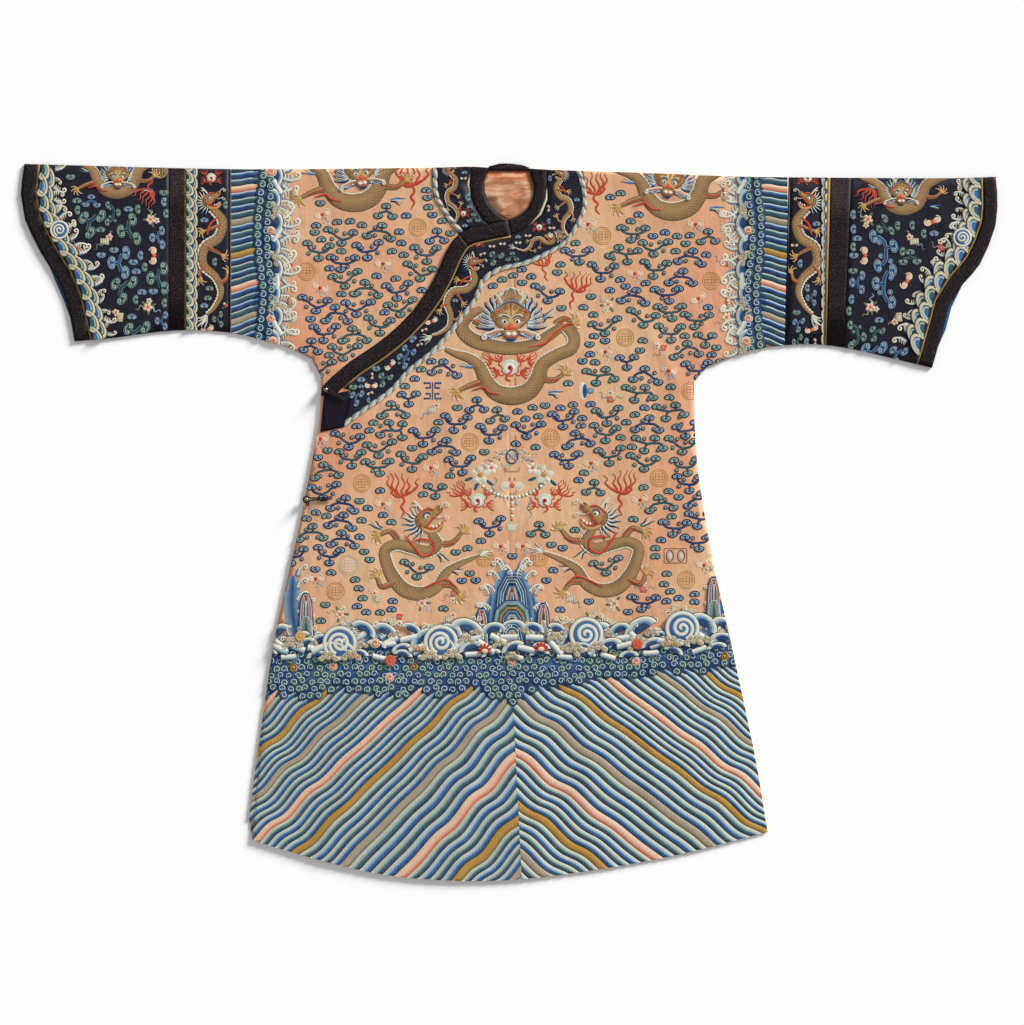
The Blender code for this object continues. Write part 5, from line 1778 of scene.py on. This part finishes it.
@stitched
def centre_emblem(s):
    """Knot, peonies and a garland of beads that hang over the skirt's middle."""
    for side in (1, -1):
        s.place(blossom("cream", "ochre", 14), side * 62 - 18j)
        s.place(blossom("white", "coral", 9), side * 40 - 4j)
        s.place(ribbon("jade", 34), side * 20 + 6j, 90 - side * 60, 1.0, side < 0)
        s.place(ribbon("royal", 40), side * 34 - 62j, 270, 1.0, side < 0)
        for turn in (200, 250, 320):
            leaf = oval(side * 62 - 18j + 24 * way_of(turn), 9, 3.4, 9, turn)
            s.fill(leaf, "deep teal", "teal", 1, 0.4)
        for k in range(5):
            s.place(EMBLEMS[k], side * (16 + 12 * k) + 1j * (26 - 9 * k), 40 * k, 0.55)
    for k in range(21):
        t = -1 + 0.1 * k
        bead = oval(70 * t - 1j * (62 - 34 * t * t), 3.6, 3.6, 8)
        s.fill(bead, "sand", ("white", "pale jade")[k % 2], 3, 0.9)
    for k in range(7):
        s.fill(oval(-1j * (66 + 6.5 * k), 3.0, 3.0, 8), "sand", ("coral", "white")[k % 2], 3, 0.8)
    s.stroke(closed(oval(18j, 11, 14, 16)), 3.0, "royal", 4, 0.6)
    s.stroke([-9 + 27j, 9 + 9j], 2.4, "sky", 6, 0.4)
    s.stroke([9 + 27j, -9 + 9j], 2.4, "sky", 6, 0.4)
    s.fill([-14 - 12j, 14 - 12j, 16 - 4j, 8 - 7j, 1j, -8 - 7j, -16 - 4j], "ochre", "blush", 5, 0.6)
    s.place(bat("cream", "coral"), -38j, 180, 1.4)
    s.fill([-12 - 112j, 12 - 112j, 9 - 128j, -9 - 128j], "sand", "cream", 2, 0.4)


# Dragons, pearls and fire: the motif, its place, turn and size, and whether it is mirrored.
BODY_DRAGONS = (
    (MAIN_DRAGON, 3 + 391j), (PEARL, 1 + 301j), (STRIDING_DRAGON, -163 + 0j),
    (STRIDING_DRAGON, 171 + 6j, 0, 1.0, True), (PEARL, -62 + 42j, 0, 0.85),
    (PEARL, 69 + 42j, 0, 0.85, True), (FLAMES, 42 + 306j, -42, 0.7), (FLAMES, 102 + 52j, -30, 0.75),
    (FLAMES, -40 + 306j, 42, 0.7, True), (FLAMES, -94 + 52j, 30, 0.75, True),
    (MAIN_DRAGON, -305 + 768j), (MAIN_DRAGON, 318 + 751j), (FACE, -290 + 682j, 8, 0.95),
    (FACE, 312 + 664j, -8, 0.95), (FLAMES, -190 + 656j, 5, 1.35),
    (FLAMES, 167 + 640j, 5, 1.2, True), (FLAMES, 66 + 500j, 10, 0.9, True),
    (FLAMES, 128 + 452j, -20, 1.1, True), (FLAMES, -92 + 462j, 20, 0.7),
)


@stitched
def make_dragons(s):
    """The dragons of the body, their pearls and fire."""
    for placing in BODY_DRAGONS:
        sew(s, *placing)


@stitched
def make_emblems(s):
    """Medallions, bats, sprays and single treasures of the body."""
    for x, y in MEDALLIONS:
        sew(s, MEDALLION, x + 1j * y)
    sew(s, PALE_MEDALLION, -314 - 84j, 0, 1.1)
    sew(s, fret_square(), -150 + 256j, 0, 1.15)
    sew(s, cup_pair(), 324 - 66j)
    sew(s, dish(), 144 + 256j)
    sew(s, centre_emblem(), 5 + 110j)
    for x, y, turn in BATS:
        sew(s, BAT, x + 1j * y, turn, 1.0, x > 0)
        s.place(ribbon("sky", 18), x + 14 + 1j * (y - 9), 200, 0.8)
    for x, y, kind in SPRAYS:
        sew(s, EMBLEMS[kind], x + 1j * y, 25 * kind, 1.05, x > 0)


def make_clouds(allowed):
    """Clouds fill the ground between the other motifs, nearly mirrored about the middle."""
    left, right = Stitching(), Stitching()
    wide = [group for family in CLOUDS for group in family if group is not family[4]]
    small = [family[4] for family in CLOUDS]
    fine = lattice(34 - 205j, 500 + 690j, 9, 7, 1.5)
    loose = lattice(6 - 205j, 500 + 690j, 9, 7, 2)
    for motifs, spots, size in ((wide, fine, 0.9), (small, loose, 0.88),
                                (CLOUD_HEADS, loose, 0.86)):
        scatter(right, motifs, spots, allowed, (0, 5, -5, 180), size, 0)
        scatter(left, motifs, [6 - np.conj(at) for at in spots], allowed, (0, 5, -5, 180), size, 0)
    return left, right


waters = make_waters()
chart.take(np.concatenate(waters.places), 1)
sleeve_waters = {side: make_sleeve_waters(side) for side in (-1, 1)}
dragons = make_dragons()
emblems = make_emblems()
clouds_left, clouds_right = make_clouds(chart.allows(*FRONT_SILK))


SEAM_TOP = 478.0      # where the strip over the seam starts, under the collar, mm
SEAM_FOOT = -690.0


def front_seam():
    """A flat strip of the silk over the join of the two fronts, sewn edge to edge."""
    s = Stitching()
    y = np.arange(SEAM_TOP, SEAM_FOOT, -6.0)
    s.rows([line_at(SEAM, y) + across + 1j * y for across in (-6.5, -5.5, 5.5, 6.5)],
           [-0.1, 0.03, 0.03, -0.1], ["blush"] * 4)
    strip = lay(s, "centre_seam", Ground("right_length", "outer_front"), "apricot silk")
    strip.data.materials[0] = FINISHES["apricot silk"]
    return strip


shells["centre_seam"] = front_seam()
front_ground = Ground(*FRONT_SILK, "centre_seam")
LAID = (
    (clouds_left, "clouds_left", front_ground, "apricot silk"),
    (clouds_right, "clouds_right", front_ground, "apricot silk"),
    (stripe_rows(-1), "skirt_stripes_left", Ground(*FRONT_SILK, above=0.5), "apricot silk"),
    (stripe_rows(1), "skirt_stripes_right", front_ground, "apricot silk"),
    (waters, "skirt_waves", front_ground, "apricot silk", 0.3),
    (dragons, "body_dragons", front_ground, "apricot silk"),
    (emblems, "body_emblems", front_ground, "apricot silk"),
    (make_collar(chart.allows("collar", "collar_left")), "collar_embroidery",
     Ground("collar", "collar_left"), "navy silk"),
)
for stitches_and_place in LAID:
    lay(*stitches_and_place)
for side, letter in ((-1, "l"), (1, "r")):
    lay(sleeve_waters[side], f"sleeve_waves_{letter}", front_ground, "apricot silk")
    cuff_ground = Ground(f"cuff_{letter}")
    lay(make_cuff(side, cuff_ground), f"cuff_embroidery_{letter}", cuff_ground, "navy silk")
    lay(make_sleeve_band(side), f"band_embroidery_{letter}", Ground(f"sleeve_band_{letter}"),
        "navy silk")


# Cord frogs

for number in ("1", "2"):
    for node, finish in ((f"toggle_{number}", "dull brass"), (f"loop_{number}", "black cord")):
        cord = copy_of(node, f"frog_{node}", 1)
        cord.data.shade_smooth()
        dress(cord, node, finish)


# Camera, light and floor

CAMERA_HEIGHT = 5.561
FRAME_MIDDLE = (0.0049, 0.0186)
LENS = 100
SENSOR = 36
FLOOR_SIDE = 60
FLOOR_HEIGHT = -0.0004
KEY_FROM = (0.70, 0.66, 0.27)
KEY_STRENGTH = 6.8
KEY_SPREAD = 16         # degrees
SURROUND_STRENGTH = 0.42

camera = link(bpy.data.objects.new("Camera", bpy.data.cameras.new("Camera")))
camera.data.lens = LENS
camera.data.sensor_width = SENSOR
camera.location = (*FRAME_MIDDLE, CAMERA_HEIGHT)
bpy.context.scene.camera = camera

bpy.ops.mesh.primitive_plane_add(size=FLOOR_SIDE, location=(0, 0, FLOOR_HEIGHT))
floor = bpy.context.object
floor.name = "floor"
floor.data.materials.append(studio_floor())

key = link(bpy.data.objects.new("Key light", bpy.data.lights.new("Key light", "SUN")))
key.data.energy = KEY_STRENGTH
key.data.angle = math.radians(KEY_SPREAD)
key.rotation_euler = Vector(KEY_FROM).to_track_quat("Z", "Y").to_euler()
world = bpy.data.worlds.new("Studio")
world.use_nodes = True
surround = world.node_tree.nodes["Background"]
surround.inputs["Strength"].default_value = SURROUND_STRENGTH
surround.inputs["Color"].default_value = (1.0, 1.0, 1.0, 1.0)
bpy.context.scene.world = world
bpy.context.scene.view_settings.view_transform = "Standard"
